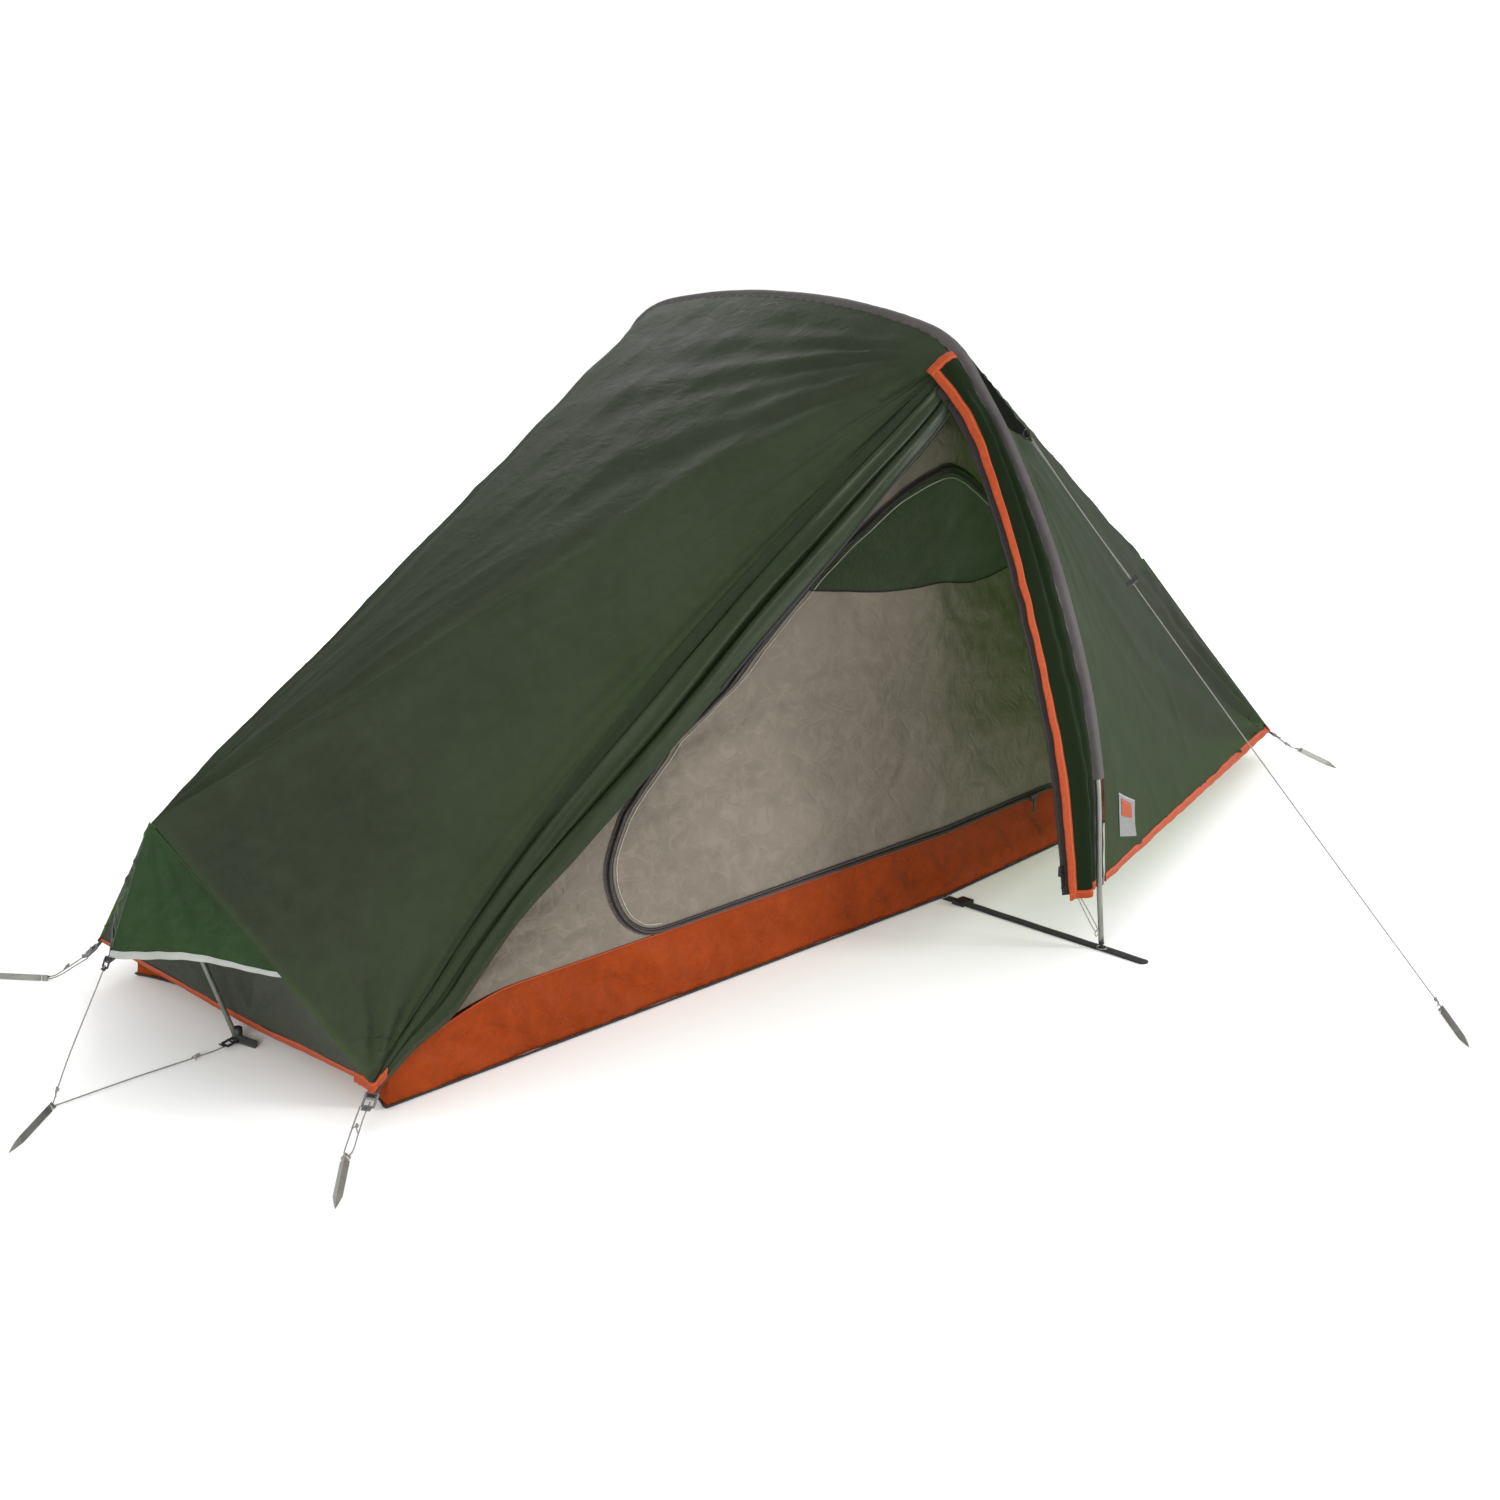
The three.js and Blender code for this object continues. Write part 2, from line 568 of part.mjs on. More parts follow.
// a ladder-lock that slides along the near ground strap, astride it
function addStrapBuckle() {
  const half = BUCKLE.width / 2;
  const inside = STRAP_WIDTH / 2 + 1.5;
  const shape = new THREE.Shape();
  shape.moveTo(-half, 0);
  shape.lineTo(-inside, 0);
  shape.lineTo(-inside, BUCKLE.roof);
  shape.lineTo(inside, BUCKLE.roof);
  shape.lineTo(inside, 0);
  shape.lineTo(half, 0);
  shape.lineTo(half, BUCKLE.height);
  shape.lineTo(-half, BUCKLE.height);
  shape.closePath();
  const frame = new THREE.ExtrudeGeometry(shape, { depth: BUCKLE.length, bevelEnabled: false });
  const turn = new THREE.Matrix4().makeRotationX(Math.PI / 2).setPosition(0, BUCKLE.y, 0);
  add('strap_buckle_near', frame, PLASTIC, turn);
}

function addStrut(name, end) {
  const a = atEnd(end, end.strut.bottom[0], 0, end.strut.bottom[1]);
  const b = atEnd(end, end.strut.top[0], 0, end.strut.top[1]);
  const length = a.distanceTo(b);
  const outline = [
    [0, 0], [STRUT_RADIUS - 1, 0], [STRUT_RADIUS, 1.5], [STRUT_RADIUS, length - 1.5],
    [STRUT_RADIUS - 1, length], [0, length],
  ];
  const rod = new THREE.LatheGeometry(outline.map(([r, y]) => new THREE.Vector2(r, y)), 10);
  add(name, rod, ALLOY, placeAlong(a, b));
}

// ---- cords, line lock and pegs ----
function addCords() {
  for (const [name, points] of Object.entries(CORDS)) {
    const curve = points.length > 2 ? spline(points) : new THREE.LineCurve3(points[0], points[1]);
    const steps = points.length > 2 ? 3 * points.length : 1;
    add(name, sweep(curve, circle(CORD_RADIUS), steps), CORD);
  }
}

// a ring on the shoulder that the guy line is tied to
function addGuyRing() {
  const ring = new THREE.TorusGeometry(7, 1.4, 6, 14);
  const middle = GUY_TOP.clone().add(point(-1.6, 10.1, 10.6));
  add('guy_ring', ring, PLASTIC, new THREE.Matrix4().makeRotationY(Math.PI / 2).setPosition(middle));
}

// a wedge-shaped line lock with a bore for the guy line
function addLineLock() {
  const shape = new THREE.Shape();
  shape.moveTo(-11, -6);
  shape.lineTo(11, -6);
  shape.lineTo(0, 13);
  shape.closePath();
  const bore = new THREE.Path();
  bore.absarc(0, -1, CORD_RADIUS + 0.8, 0, Math.PI * 2, true);
  shape.holes.push(bore);
  const wedge = new THREE.ExtrudeGeometry(shape, { depth: 8, bevelEnabled: false, curveSegments: 5 });
  wedge.translate(0, 1, -4).rotateX(-Math.PI / 2);
  const down = GUY_END.clone().sub(GUY_TOP).normalize();
  const at = GUY_TOP.clone().lerp(GUY_END, LOCK_AT);
  add('line_lock', wedge, PLASTIC, placeAlong(at, at.clone().add(down)));
}

// a folded-alloy peg, lying on its two edges, with a hook notch near its head
function pegGeometry() {
  const { length, leg, wall, notch, point: tipLength } = PEG;
  const shape = new THREE.Shape();
  shape.moveTo(-leg, 0);
  shape.lineTo(0, leg * 0.8);
  shape.lineTo(leg, 0);
  shape.lineTo(leg - wall * 1.6, 0);
  shape.lineTo(0, leg * 0.8 - wall * 1.6);
  shape.lineTo(-leg + wall * 1.6, 0);
  shape.closePath();
  const turn = new THREE.Matrix4().makeBasis(point(0, 1, 0), point(0, 0, 1), point(1, 0, 0));
  let solid = toSolid(new THREE.ExtrudeGeometry(shape, { depth: length, bevelEnabled: false }), turn);
  for (const across of [-1, 1]) {
    const taper = new THREE.Shape();
    taper.moveTo(length - tipLength, across * (leg + 2));
    taper.lineTo(length + 4, across * (leg + 2));
    taper.lineTo(length + 4, across * 1.5);
    taper.closePath();
    const cutter = new THREE.ExtrudeGeometry(taper, { depth: 4 * leg, bevelEnabled: false });
    solid = solid.subtract(toSolid(cutter, new THREE.Matrix4().makeTranslation(0, 0, -leg)));
    const bite = new THREE.BoxGeometry(5, 6, 4 * leg).translate(notch, across * leg, 0);
    solid = solid.subtract(toSolid(bite));
  }
  return toGeometry(solid);
}

function addPegs() {
  const geometry = pegGeometry();
  for (const [name, { swivel, heading }] of Object.entries(PEGS)) {
    const angle = THREE.MathUtils.degToRad(heading);
    const x = swivel[0] + PEG_REACH * Math.cos(angle);
    const y = swivel[1] + PEG_REACH * Math.sin(angle);
    add(name, geometry, STEEL, new THREE.Matrix4().makeRotationZ(angle).setPosition(x, y, 0));
  }
}

// ---- zips ----
// the zip runs round the doorway, from the hinge edge's foot along the tub and up over the D
function addInnerZip() {
  const outside = -4;
  const points = [...DOORWAY_FOOT.slice(1), [60, 0.82], [150, 0.81], [230, 0.785]].map(doorwayPoint);
  const corner = innerWallPoint(-1, -690, 0.004);
  const start = innerWallPoint(-1, HINGE_X - 12, 0.004);
  const along = [170, 60, 0, -60, -350].map((x) => innerWallPoint(-1, x, 0.004));
  const path = [start, ...along, corner, ...points].map((p) => p.add(point(0, outside, 0)));
  add('inner_door_zip', sweep(spline(path), circle(ZIP_RADIUS), 56, 3), ZIP);
}

function addInnerZipSlider() {
  const at = innerWallPoint(-1, INNER_ZIP_SLIDER_X, 0.004).add(point(0, -11, 0));
  const body = new THREE.BoxGeometry(16, 5, 11).translate(at.x, at.y, at.z);
  const tag = new THREE.BoxGeometry(5, 2, 24).translate(at.x, at.y - 3, at.z - 15);
  add('inner_zip_slider', toGeometry(toSolid(body).add(toSolid(tag))), PLASTIC);
}

addGroundsheet();
addTub();
addNearWall();
addFarWall('inner_far_foot_wall', -12, -1095);
addFarWall('inner_far_head_wall', 985, 12);
addInnerRoof('inner_foot_roof', FOOT);
addInnerRoof('inner_head_roof', HEAD);
addInnerEnd('inner_foot_end', FOOT);
addInnerEnd('inner_head_end', HEAD);
addInnerDoor();
addInnerZip();
addInnerZipSlider();

addFlyRoof('fly_foot_roof', FOOT);
addFlyRoof('fly_head_roof', HEAD);
addFlyNearFoot();
addFlySide('fly_far_foot_side', FOOT, 1);
addFlySide('fly_near_head_side', HEAD, -1);
addFlySide('fly_far_head_side', HEAD, 1);
addFlyEnd('fly_foot_end', FOOT);
addFlyEnd('fly_head_end', HEAD);
addHood('fly_foot_hood', FOOT);
addHood('fly_head_hood', HEAD);
addDoorRoll();
addDoorFlap();
addFlyZipSlider();

addPole();
addSleeve();
addStrut('foot_strut', FOOT);
addStrut('head_strut', HEAD);
addStrap('ground_strap_near', -1);
addStrap('ground_strap_far', 1);
addStrapBuckle();

addGuyRing();
addCords();
addLineLock();
addPegs();

export default tent;
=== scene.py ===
"""One-person single-hoop backpacking tent, pitched, with its fly door rolled open. Metres, +Z up.

X runs along the tent, foot end -X and head end +X. Y runs across it, door side -Y.
"""
import math

import bmesh
import bpy
import numpy as np
from mathutils import Matrix, Vector


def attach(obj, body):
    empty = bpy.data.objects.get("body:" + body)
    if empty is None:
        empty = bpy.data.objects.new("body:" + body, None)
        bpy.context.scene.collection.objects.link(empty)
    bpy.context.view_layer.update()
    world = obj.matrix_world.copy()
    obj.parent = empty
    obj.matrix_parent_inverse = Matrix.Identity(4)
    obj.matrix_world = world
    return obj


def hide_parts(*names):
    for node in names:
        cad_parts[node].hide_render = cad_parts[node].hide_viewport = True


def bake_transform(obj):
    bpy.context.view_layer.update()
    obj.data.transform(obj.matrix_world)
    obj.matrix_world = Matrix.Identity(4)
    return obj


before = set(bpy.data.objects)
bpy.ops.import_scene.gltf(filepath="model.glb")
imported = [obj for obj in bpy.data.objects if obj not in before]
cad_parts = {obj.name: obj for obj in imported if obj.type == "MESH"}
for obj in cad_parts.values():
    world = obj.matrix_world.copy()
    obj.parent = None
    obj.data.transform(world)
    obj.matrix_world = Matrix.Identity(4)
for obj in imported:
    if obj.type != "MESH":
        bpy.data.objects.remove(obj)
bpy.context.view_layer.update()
TENT = "tent"  # the body that everything pitched rides on
TAU = 2 * math.pi
MIDDLE = np.array([0, 0, 0.25])  # inside the tent: the cloth's outer face looks away from it
UP = np.array([0, 0, 1])

# ---- the tent's outline, shared with the CAD model ----
# hoop axis in the plane x = 0, as (distance from the middle, height), from the ground up
LEG = [
    (0.698, 0.0004), (0.687, 0.110), (0.673, 0.283), (0.646, 0.408), (0.594, 0.560),
    (0.540, 0.677), (0.471, 0.794), (0.414, 0.872), (0.375, 0.920),
]
CROWN = [(0.375, 0.920), (0.325, 0.951), (0.241, 0.971), (0.136, 0.985), (0.0, 0.991)]
INNER_CROWN = [(0.350, 0.880), (0.300, 0.912), (0.225, 0.932), (0.128, 0.945), (0.0, 0.951)]
POLE_RADIUS = 0.0045
POLE_TIP, JOINT_GAP = 0.0124, 0.0004  # a tip's length, and the gap between two sections
SLEEVE_X, SLEEVE_DEPTH = 0.014, 0.010  # half sizes of the sleeve's section
SLEEVE_END = 0.285  # arc length from the ground to the sleeve's mouth
FLY_X = 0.016  # where the fly meets the sleeve

# each end by its distances from the hoop: (x, z) on the middle plane, or (x, y) and (x, y, z) at a corner
FOOT = {
    "side": -1, "peak": (1.274, 0.366), "corner": (1.185, 0.360, 0.060), "wall_bottom": (1.150, 0.022),
    "hood_tip": (1.355, 0.192), "hood_corner": (1.219, 0.212, 0.184), "tub": (1.149, 0.327),
    "inner": (1.225, 0.330), "wall_end": 1.095,
}
HEAD = {
    "side": 1, "peak": (1.118, 0.366), "corner": (1.094, 0.351, 0.060), "wall_bottom": (1.076, 0.022),
    "hood_tip": (1.200, 0.192), "hood_corner": (1.104, 0.207, 0.184), "tub": (1.035, 0.318),
    "inner": (1.062, 0.330), "wall_end": 0.985,
}
TUB_HALF = 0.373  # half the tub's width at the hoop
TUB_TOP = 0.113
TUB_ROUNDING = 0.007
FOOTING = 0.118  # where the inner's walls start
SHOULDER_Z = 0.880
WALL = 0.76  # height of a long wall of the inner, which turns a rise of 0 to 1 into metres
HINGE_X = 0.340
# the doorway's outline, as (x, rise)
DOORWAY_FOOT = [
    (-0.640, 0.003), (-0.676, 0.018), (-0.701, 0.060), (-0.711, 0.120), (-0.708, 0.200), (-0.678, 0.310),
    (-0.608, 0.42), (-0.494, 0.53), (-0.370, 0.63), (-0.260, 0.72), (-0.172, 0.77), (-0.094, 0.81),
    (-0.020, 0.82),
]
DOORWAY_HEAD = [
    (0.080, 0.825), (0.150, 0.815), (0.230, 0.79), (0.290, 0.74), (0.325, 0.66), (HINGE_X, 0.5),
    (HINGE_X, 0.25), (HINGE_X, 0.006),
]
NET = {"from": -0.262, "to": 0.318, "rise": 0.70, "dip": 0.13}

CORD_RADIUS = 0.001
STRAP_REACH = (0.376, 0.786)  # a ground strap's ends, from the middle of the tent
GUY_TOP = (0.040, -0.489, 0.794)
GUY_END = (0.160, -1.205, 0.003)
LOCK_AT = 0.255  # the line lock's place, as a share of the guy line
KNOT = 0.003
# each cord's knot: its name, place, direction, and what the cord's far end is
TIES = {
    "cord_near_foot": ("near_foot_knot", (-1.227, -0.377, 0.0245), (-1, -0.4, -0.6), "object"),
    "cord_far_foot": ("far_foot_knot", (-1.226, 0.385, 0.0240), (-1, 0.6, -0.6), "object"),
    "cord_foot_hood": ("hood_knot", (-1.447, 0.0052, 0.0235), (-0.5, 0, -1), "knot"),
    "cord_foot_strut": ("strut_knot", (-1.236, -0.003, 0.0045), (-1, 0, 0), "knot"),
    "cord_near_head": ("near_head_knot", (1.141, -0.3645, 0.0235), (1, -0.1, -0.6), "object"),
}
ROUTES = {
    "cord_near_foot": [
        (-1.196, -0.366, 0.044), (-1.212, -0.373, 0.031), (-1.232, -0.386, 0.016), (-1.252, -0.400, 0.004),
        (-1.262, -0.403, 0.003), (-1.261, -0.395, 0.003), (-1.244, -0.381, 0.012), (-1.222, -0.366, 0.026),
        (-1.206, -0.357, 0.038),
    ],
    "cord_far_foot": [
        (-1.196, 0.366, 0.044), (-1.210, 0.376, 0.032), (-1.226, 0.392, 0.017), (-1.240, 0.408, 0.004),
        (-1.247, 0.414, 0.003), (-1.250, 0.405, 0.003), (-1.238, 0.390, 0.010), (-1.220, 0.372, 0.026),
        (-1.206, 0.358, 0.038),
    ],
    "cord_foot_hood": [
        (-1.362, 0, 0.182), (-1.380, 0.002, 0.148), (-1.402, 0.004, 0.108), (-1.425, 0.005, 0.067),
        (-1.444, 0.005, 0.030), (-1.455, 0.0055, 0.0055),
    ],
    "cord_foot_strut": [
        (-1.178, -0.006, 0.006), (-1.210, -0.005, 0.003), (-1.270, -0.001, 0.002), (-1.330, 0.002, 0.002),
        (-1.400, 0.003, 0.002), (-1.454, 0.004, 0.0016),
    ],
    "cord_near_head": [
        (1.106, -0.357, 0.046), (1.124, -0.359, 0.034), (1.148, -0.362, 0.018), (1.176, -0.364, 0.005),
        (1.186, -0.368, 0.003), (1.180, -0.374, 0.003), (1.158, -0.370, 0.012), (1.132, -0.367, 0.028),
        (1.112, -0.365, 0.040),
    ],
}


# ---- camera, floor and light ----
CAMERA_AT = (-2.6286, -2.459, 1.3083)
AZIMUTH, PITCH = math.radians(-45.825), math.radians(17.336)
SENSOR, LENS = 36, 49.85  # mm
FLOOR_REACH = 60


def make_camera():
    place = Vector(CAMERA_AT)
    right = Vector((math.cos(AZIMUTH), math.sin(AZIMUTH), 0))
    level = math.cos(PITCH)
    back = Vector((math.sin(AZIMUTH) * level, -math.cos(AZIMUTH) * level, math.sin(PITCH)))
    up = back.cross(right)
    data = bpy.data.cameras.new("camera")
    data.sensor_width = SENSOR
    data.lens = LENS
    camera = bpy.data.objects.new("camera", data)
    camera.matrix_world = Matrix((
        (right.x, up.x, back.x, place.x),
        (right.y, up.y, back.y, place.y),
        (right.z, up.z, back.z, place.z),
        (0, 0, 0, 1),
    ))
    bpy.context.collection.objects.link(camera)
    bpy.context.scene.camera = camera


def area_light(name, place, target, size, power, color=(1, 1, 1), gloss=1.0):
    data = bpy.data.lights.new(name, "AREA")
    data.shape = "SQUARE"
    data.size = size
    data.energy = power
    data.color = color
    data.specular_factor = gloss
    light = bpy.data.objects.new(name, data)
    light.location = place
    light.rotation_euler = (Vector(target) - Vector(place)).to_track_quat("-Z", "Y").to_euler()
    bpy.context.collection.objects.link(light)


def make_studio():
    scene = bpy.context.scene
    scene.view_settings.view_transform = "Standard"
    world = bpy.data.worlds.new("studio")
    world.use_nodes = True
    world.node_tree.nodes["Background"].inputs["Color"].default_value = (1.0, 1.0, 1.0, 1)
    world.node_tree.nodes["Background"].inputs["Strength"].default_value = 1.02
    scene.world = world
    area_light("key", (2.4, -4.3, 1.5), (-0.1, 0, 0.3), 1.2, 170, (1.0, 0.99, 0.97))
    area_light("fill", (-4.2, -2.4, 1.4), (-0.3, 0, 0.3), 1.4, 90, (1.0, 0.985, 0.96))
    area_light("back", (1.8, 3.2, 3.0), (0, 0.2, 0.4), 1.6, 80, gloss=0.0)
    steps = np.linspace(-FLOOR_REACH, FLOOR_REACH, 3)
    x, y = np.meshgrid(steps, steps, indexing="ij")
    points = np.stack([x, y, np.full_like(x, -0.0005)], -1)
    paint = Shader("studio_floor", 1.0, Specular_IOR_Level=0.0).plain((0.99, 0.99, 0.99))
    grid("studio_floor", points, paint, ride=None)


# ---- curves and noise ----
def centripetal(points, fine=24):
    """A centripetal Catmull-Rom curve through the points, as many short chords."""
    p = np.vstack([2 * points[0] - points[1], points, 2 * points[-1] - points[-2]])
    out = []
    t = np.linspace(0, 1, fine, endpoint=False)[:, None]
    for a, b, c, d in zip(p, p[1:], p[2:], p[3:]):
        d0, d1, d2 = (max(np.linalg.norm(y - x), 1e-9) ** 0.5 for x, y in ((a, b), (b, c), (c, d)))
        leave = ((b - a) / d0 - (c - a) / (d0 + d1) + (c - b) / d1) * d1
        arrive = ((c - b) / d1 - (d - b) / (d1 + d2) + (d - c) / d2) * d1
        bend, twist = 3 * (c - b) - 2 * leave - arrive, 2 * (b - c) + leave + arrive
        out.append(b + leave * t + bend * t**2 + twist * t**3)
    return np.vstack(out + [points[-1:]])


def run_of(line):
    """The distance along a line at each of its points."""
    return np.concatenate([[0], np.cumsum(np.linalg.norm(np.diff(line, axis=0), axis=1))])


class Path:
    """A curve through points, read by the share of its length."""

    def __init__(self, points, smooth=True):
        p = np.array(points, float)
        self.points = centripetal(p) if smooth and len(p) > 2 else p
        self.along = run_of(self.points)
        self.length = self.along[-1]

    def __call__(self, share):
        at = np.clip(share, 0, 1) * self.length
        return np.stack([np.interp(at, self.along, axis) for axis in self.points.T], -1)

    def evenly(self, count):
        return self(np.linspace(0, 1, count))


def lerp(a, b, share):
    return a + (b - a) * np.asarray(share)[..., None]


def unit(v):
    v = np.asarray(v, float)
    return v / np.maximum(np.linalg.norm(v, axis=-1, keepdims=True), 1e-12)


def smoothstep(x, low=0.0, high=1.0):
    t = np.clip((x - low) / (high - low), 0, 1)
    return t * t * (3 - 2 * t)


WAVES = 16


def ripples(u, v, seed, shortest, longest, lean=0.0, spread=math.pi):
    """Summed waves of random length and heading about lean, of height about 1."""
    rng = np.random.default_rng(seed)
    total = 0
    for _ in range(WAVES):
        heading = lean + rng.uniform(-spread, spread)
        length = rng.uniform(shortest, longest)
        phase = rng.uniform(0, TAU)
        total = total + np.sin(TAU * (u * math.cos(heading) + v * math.sin(heading)) / length + phase)
    return total / math.sqrt(WAVES / 2) / 1.6


def ridges(u, v, seed, shortest, longest, lean=0.0, spread=math.pi):
    """Sharp low crests, as packing and tension leave in coated cloth."""
    first = ripples(u, v, seed, shortest, longest, lean, spread)
    return 0.5 - np.abs(np.tanh(2.2 * first))


def fan_folds(points, anchor, across, down, seed, reach, fewest=12, most=34, clear=0.07):
    """Folds that run out from an anchor point, past a flat clear patch, and die away over reach."""
    rng = np.random.default_rng(seed)
    away = points - anchor
    far = np.linalg.norm(away, axis=-1)
    angle = np.arctan2(away @ unit(across), away @ unit(down))
    total = 0
    for _ in range(7):
        total = total + np.sin(angle * rng.integers(fewest, most) + rng.uniform(0, TAU))
    return total / 3 * np.exp(-far / reach) * (1 - np.exp(-((far / clear) ** 2)))


def add_folds(height, points, anchors):
    """The height with the folds of each anchor added, given as their height and what fan_folds takes."""
    for tall, *folds in anchors:
        height = height + tall * fan_folds(points, *folds)
    return height


def add_waves(height, u, v, waves):
    """The height with ripples and ridges added, each given as its height, kind and what that kind takes."""
    for tall, kind, *wave in waves:
        height = height + tall * kind(u, v, *wave)
    return height


# ---- meshes ----
def normals_of(points):
    """Unit normals of a grid of points, turned away from the tent's middle."""
    normal = unit(np.cross(np.gradient(points, axis=0), np.gradient(points, axis=1)))
    outward = np.sign(((points - MIDDLE) * normal).sum(-1).mean()) or 1
    return normal * outward


def grid_faces(rows, columns, offset=0, close=False):
    """Quads of a grid of vertices; close joins its last row to its first."""
    last = rows if close else rows - 1
    i, j = np.meshgrid(np.arange(last), np.arange(columns - 1), indexing="ij")
    after = (i + 1) % rows
    quads = np.stack([i * columns + j, after * columns + j, after * columns + j + 1, i * columns + j + 1], -1)
    return quads.reshape(-1, 4) + offset


def grid_uv(points):
    """Cloth coordinates in metres: the first along each row, the second across the rows."""
    along = np.linalg.norm(np.diff(points, axis=1), axis=2)
    across = np.linalg.norm(np.diff(points, axis=0), axis=2).mean(1)
    u = np.pad(np.cumsum(along, axis=1), ((0, 0), (1, 0)))
    v = np.pad(np.cumsum(across), (1, 0))
    return np.stack([u, np.broadcast_to(v[:, None], u.shape)], -1)


def build(name, vertices, faces, uv, material, weld=False):
    """A smooth new piece; weld merges its coincident points."""
    mesh = bpy.data.meshes.new(name)
    mesh.from_pydata(vertices.reshape(-1, 3).tolist(), [], faces.tolist())
    layer = mesh.uv_layers.new(name="cloth")
    corner = np.zeros(len(mesh.loops), np.int32)
    mesh.loops.foreach_get("vertex_index", corner)
    layer.data.foreach_set("uv", uv.reshape(-1, 2)[corner].astype(np.float32).ravel())
    if weld:
        work = bmesh.new()
        work.from_mesh(mesh)
        bmesh.ops.remove_doubles(work, verts=work.verts, dist=2e-5)
        bmesh.ops.dissolve_degenerate(work, edges=work.edges, dist=1e-6)
        loose = [v for v in work.verts if not v.link_faces]
        bmesh.ops.delete(work, geom=loose, context="VERTS")
        work.to_mesh(mesh)
        work.free()
    mesh.update()
    piece = bpy.data.objects.new(name, mesh)
    mesh.materials.append(material)
    mesh.polygons.foreach_set("use_smooth", [True] * len(mesh.polygons))
    bpy.context.collection.objects.link(piece)
    return piece


def settle(piece, ride):
    """Says which body a piece belongs to, if it has one."""
    if ride:
        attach(piece, ride)
    return piece


def grid(name, points, material, weld=False, close=False, ride=TENT):
    """A sheet through a grid of points, its faces turned away from the tent's middle."""
    faces = grid_faces(points.shape[0], points.shape[1], close=close)
    normal = np.cross(np.gradient(points, axis=0), np.gradient(points, axis=1))
    if ((points - MIDDLE) * unit(normal)).sum(-1).mean() < 0:
        faces = faces[:, ::-1]
    return settle(build(name, points, faces, grid_uv(points), material, weld), ride)


def tube_points(line, radius, sides, hint):
    """Rings about a line, in a frame carried along it, with rounded ends."""
    line = np.asarray(line, float)
    tangent = unit(np.gradient(line, axis=0))
    carried = [unit(np.cross(tangent[0], np.array(hint) + 1e-4))]
    for t in tangent:
        carried.append(unit(carried[-1] - t * (carried[-1] @ t)))
    side = np.array(carried[1:])
    normal = np.cross(tangent, side)
    radius = np.broadcast_to(radius, len(line)).astype(float)
    angle = np.linspace(0, TAU, sides + 1)
    ring = side[:, None] * np.cos(angle)[None, :, None] + normal[:, None] * np.sin(angle)[None, :, None]
    body = line[:, None] + ring * radius[:, None, None]
    cap_start = np.broadcast_to(line[0] - tangent[0] * radius[0] * 0.4, body[0].shape)
    cap_end = np.broadcast_to(line[-1] + tangent[-1] * radius[-1] * 0.4, body[0].shape)
    return np.concatenate([cap_start[None], body, cap_end[None]])


def tube(name, line, radius, material, sides=8, ride=TENT, hint=(0, 0, 1)):
    points = tube_points(line, radius, sides, hint)
    faces = grid_faces(points.shape[0], points.shape[1])[:, ::-1]
    return settle(build(name, points, faces, grid_uv(points), material, weld=True), ride)


def join(name, pieces):
    """Several new pieces as one, each keeping its own material."""
    bpy.ops.object.select_all(action="DESELECT")
    for piece in pieces:
        piece.select_set(True)
    bpy.context.view_layer.objects.active = pieces[0]
    bpy.ops.object.join()
    whole = bpy.context.view_layer.objects.active
    whole.name = name
    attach(whole, TENT)
    return whole


def bevel(piece, width):
    modifier = piece.modifiers.new("rounded_edges", "BEVEL")
    modifier.width = width
    modifier.segments = 2
    modifier.limit_method = "ANGLE"
    modifier.angle_limit = math.radians(35)
    modifier.harden_normals = False


def bars(name, pieces, material, rounding):
    """Square bars between pairs of points, each (a, b, width, height, up), as one moulded piece."""
    vertices, faces = [], []
    for a, b, width, height, up in pieces:
        a, b, up = (np.array(p, float) for p in (a, b, up))
        along = unit(b - a)
        side = unit(np.cross(along, up))
        top = np.cross(side, along)
        start = len(vertices)
        for end in (a, b):
            for s, t in ((-1, -1), (1, -1), (1, 1), (-1, 1)):
                vertices.append(end + side * s * width / 2 + top * t * height / 2)
        faces += [[start + k for k in face] for face in (
            (0, 1, 2, 3), (7, 6, 5, 4), (0, 4, 5, 1), (1, 5, 6, 2), (2, 6, 7, 3), (3, 7, 4, 0),
        )]
    piece = build(name, np.array(vertices), np.array(faces), np.zeros((len(vertices), 2)), material)
    bevel(piece, rounding)
    return piece


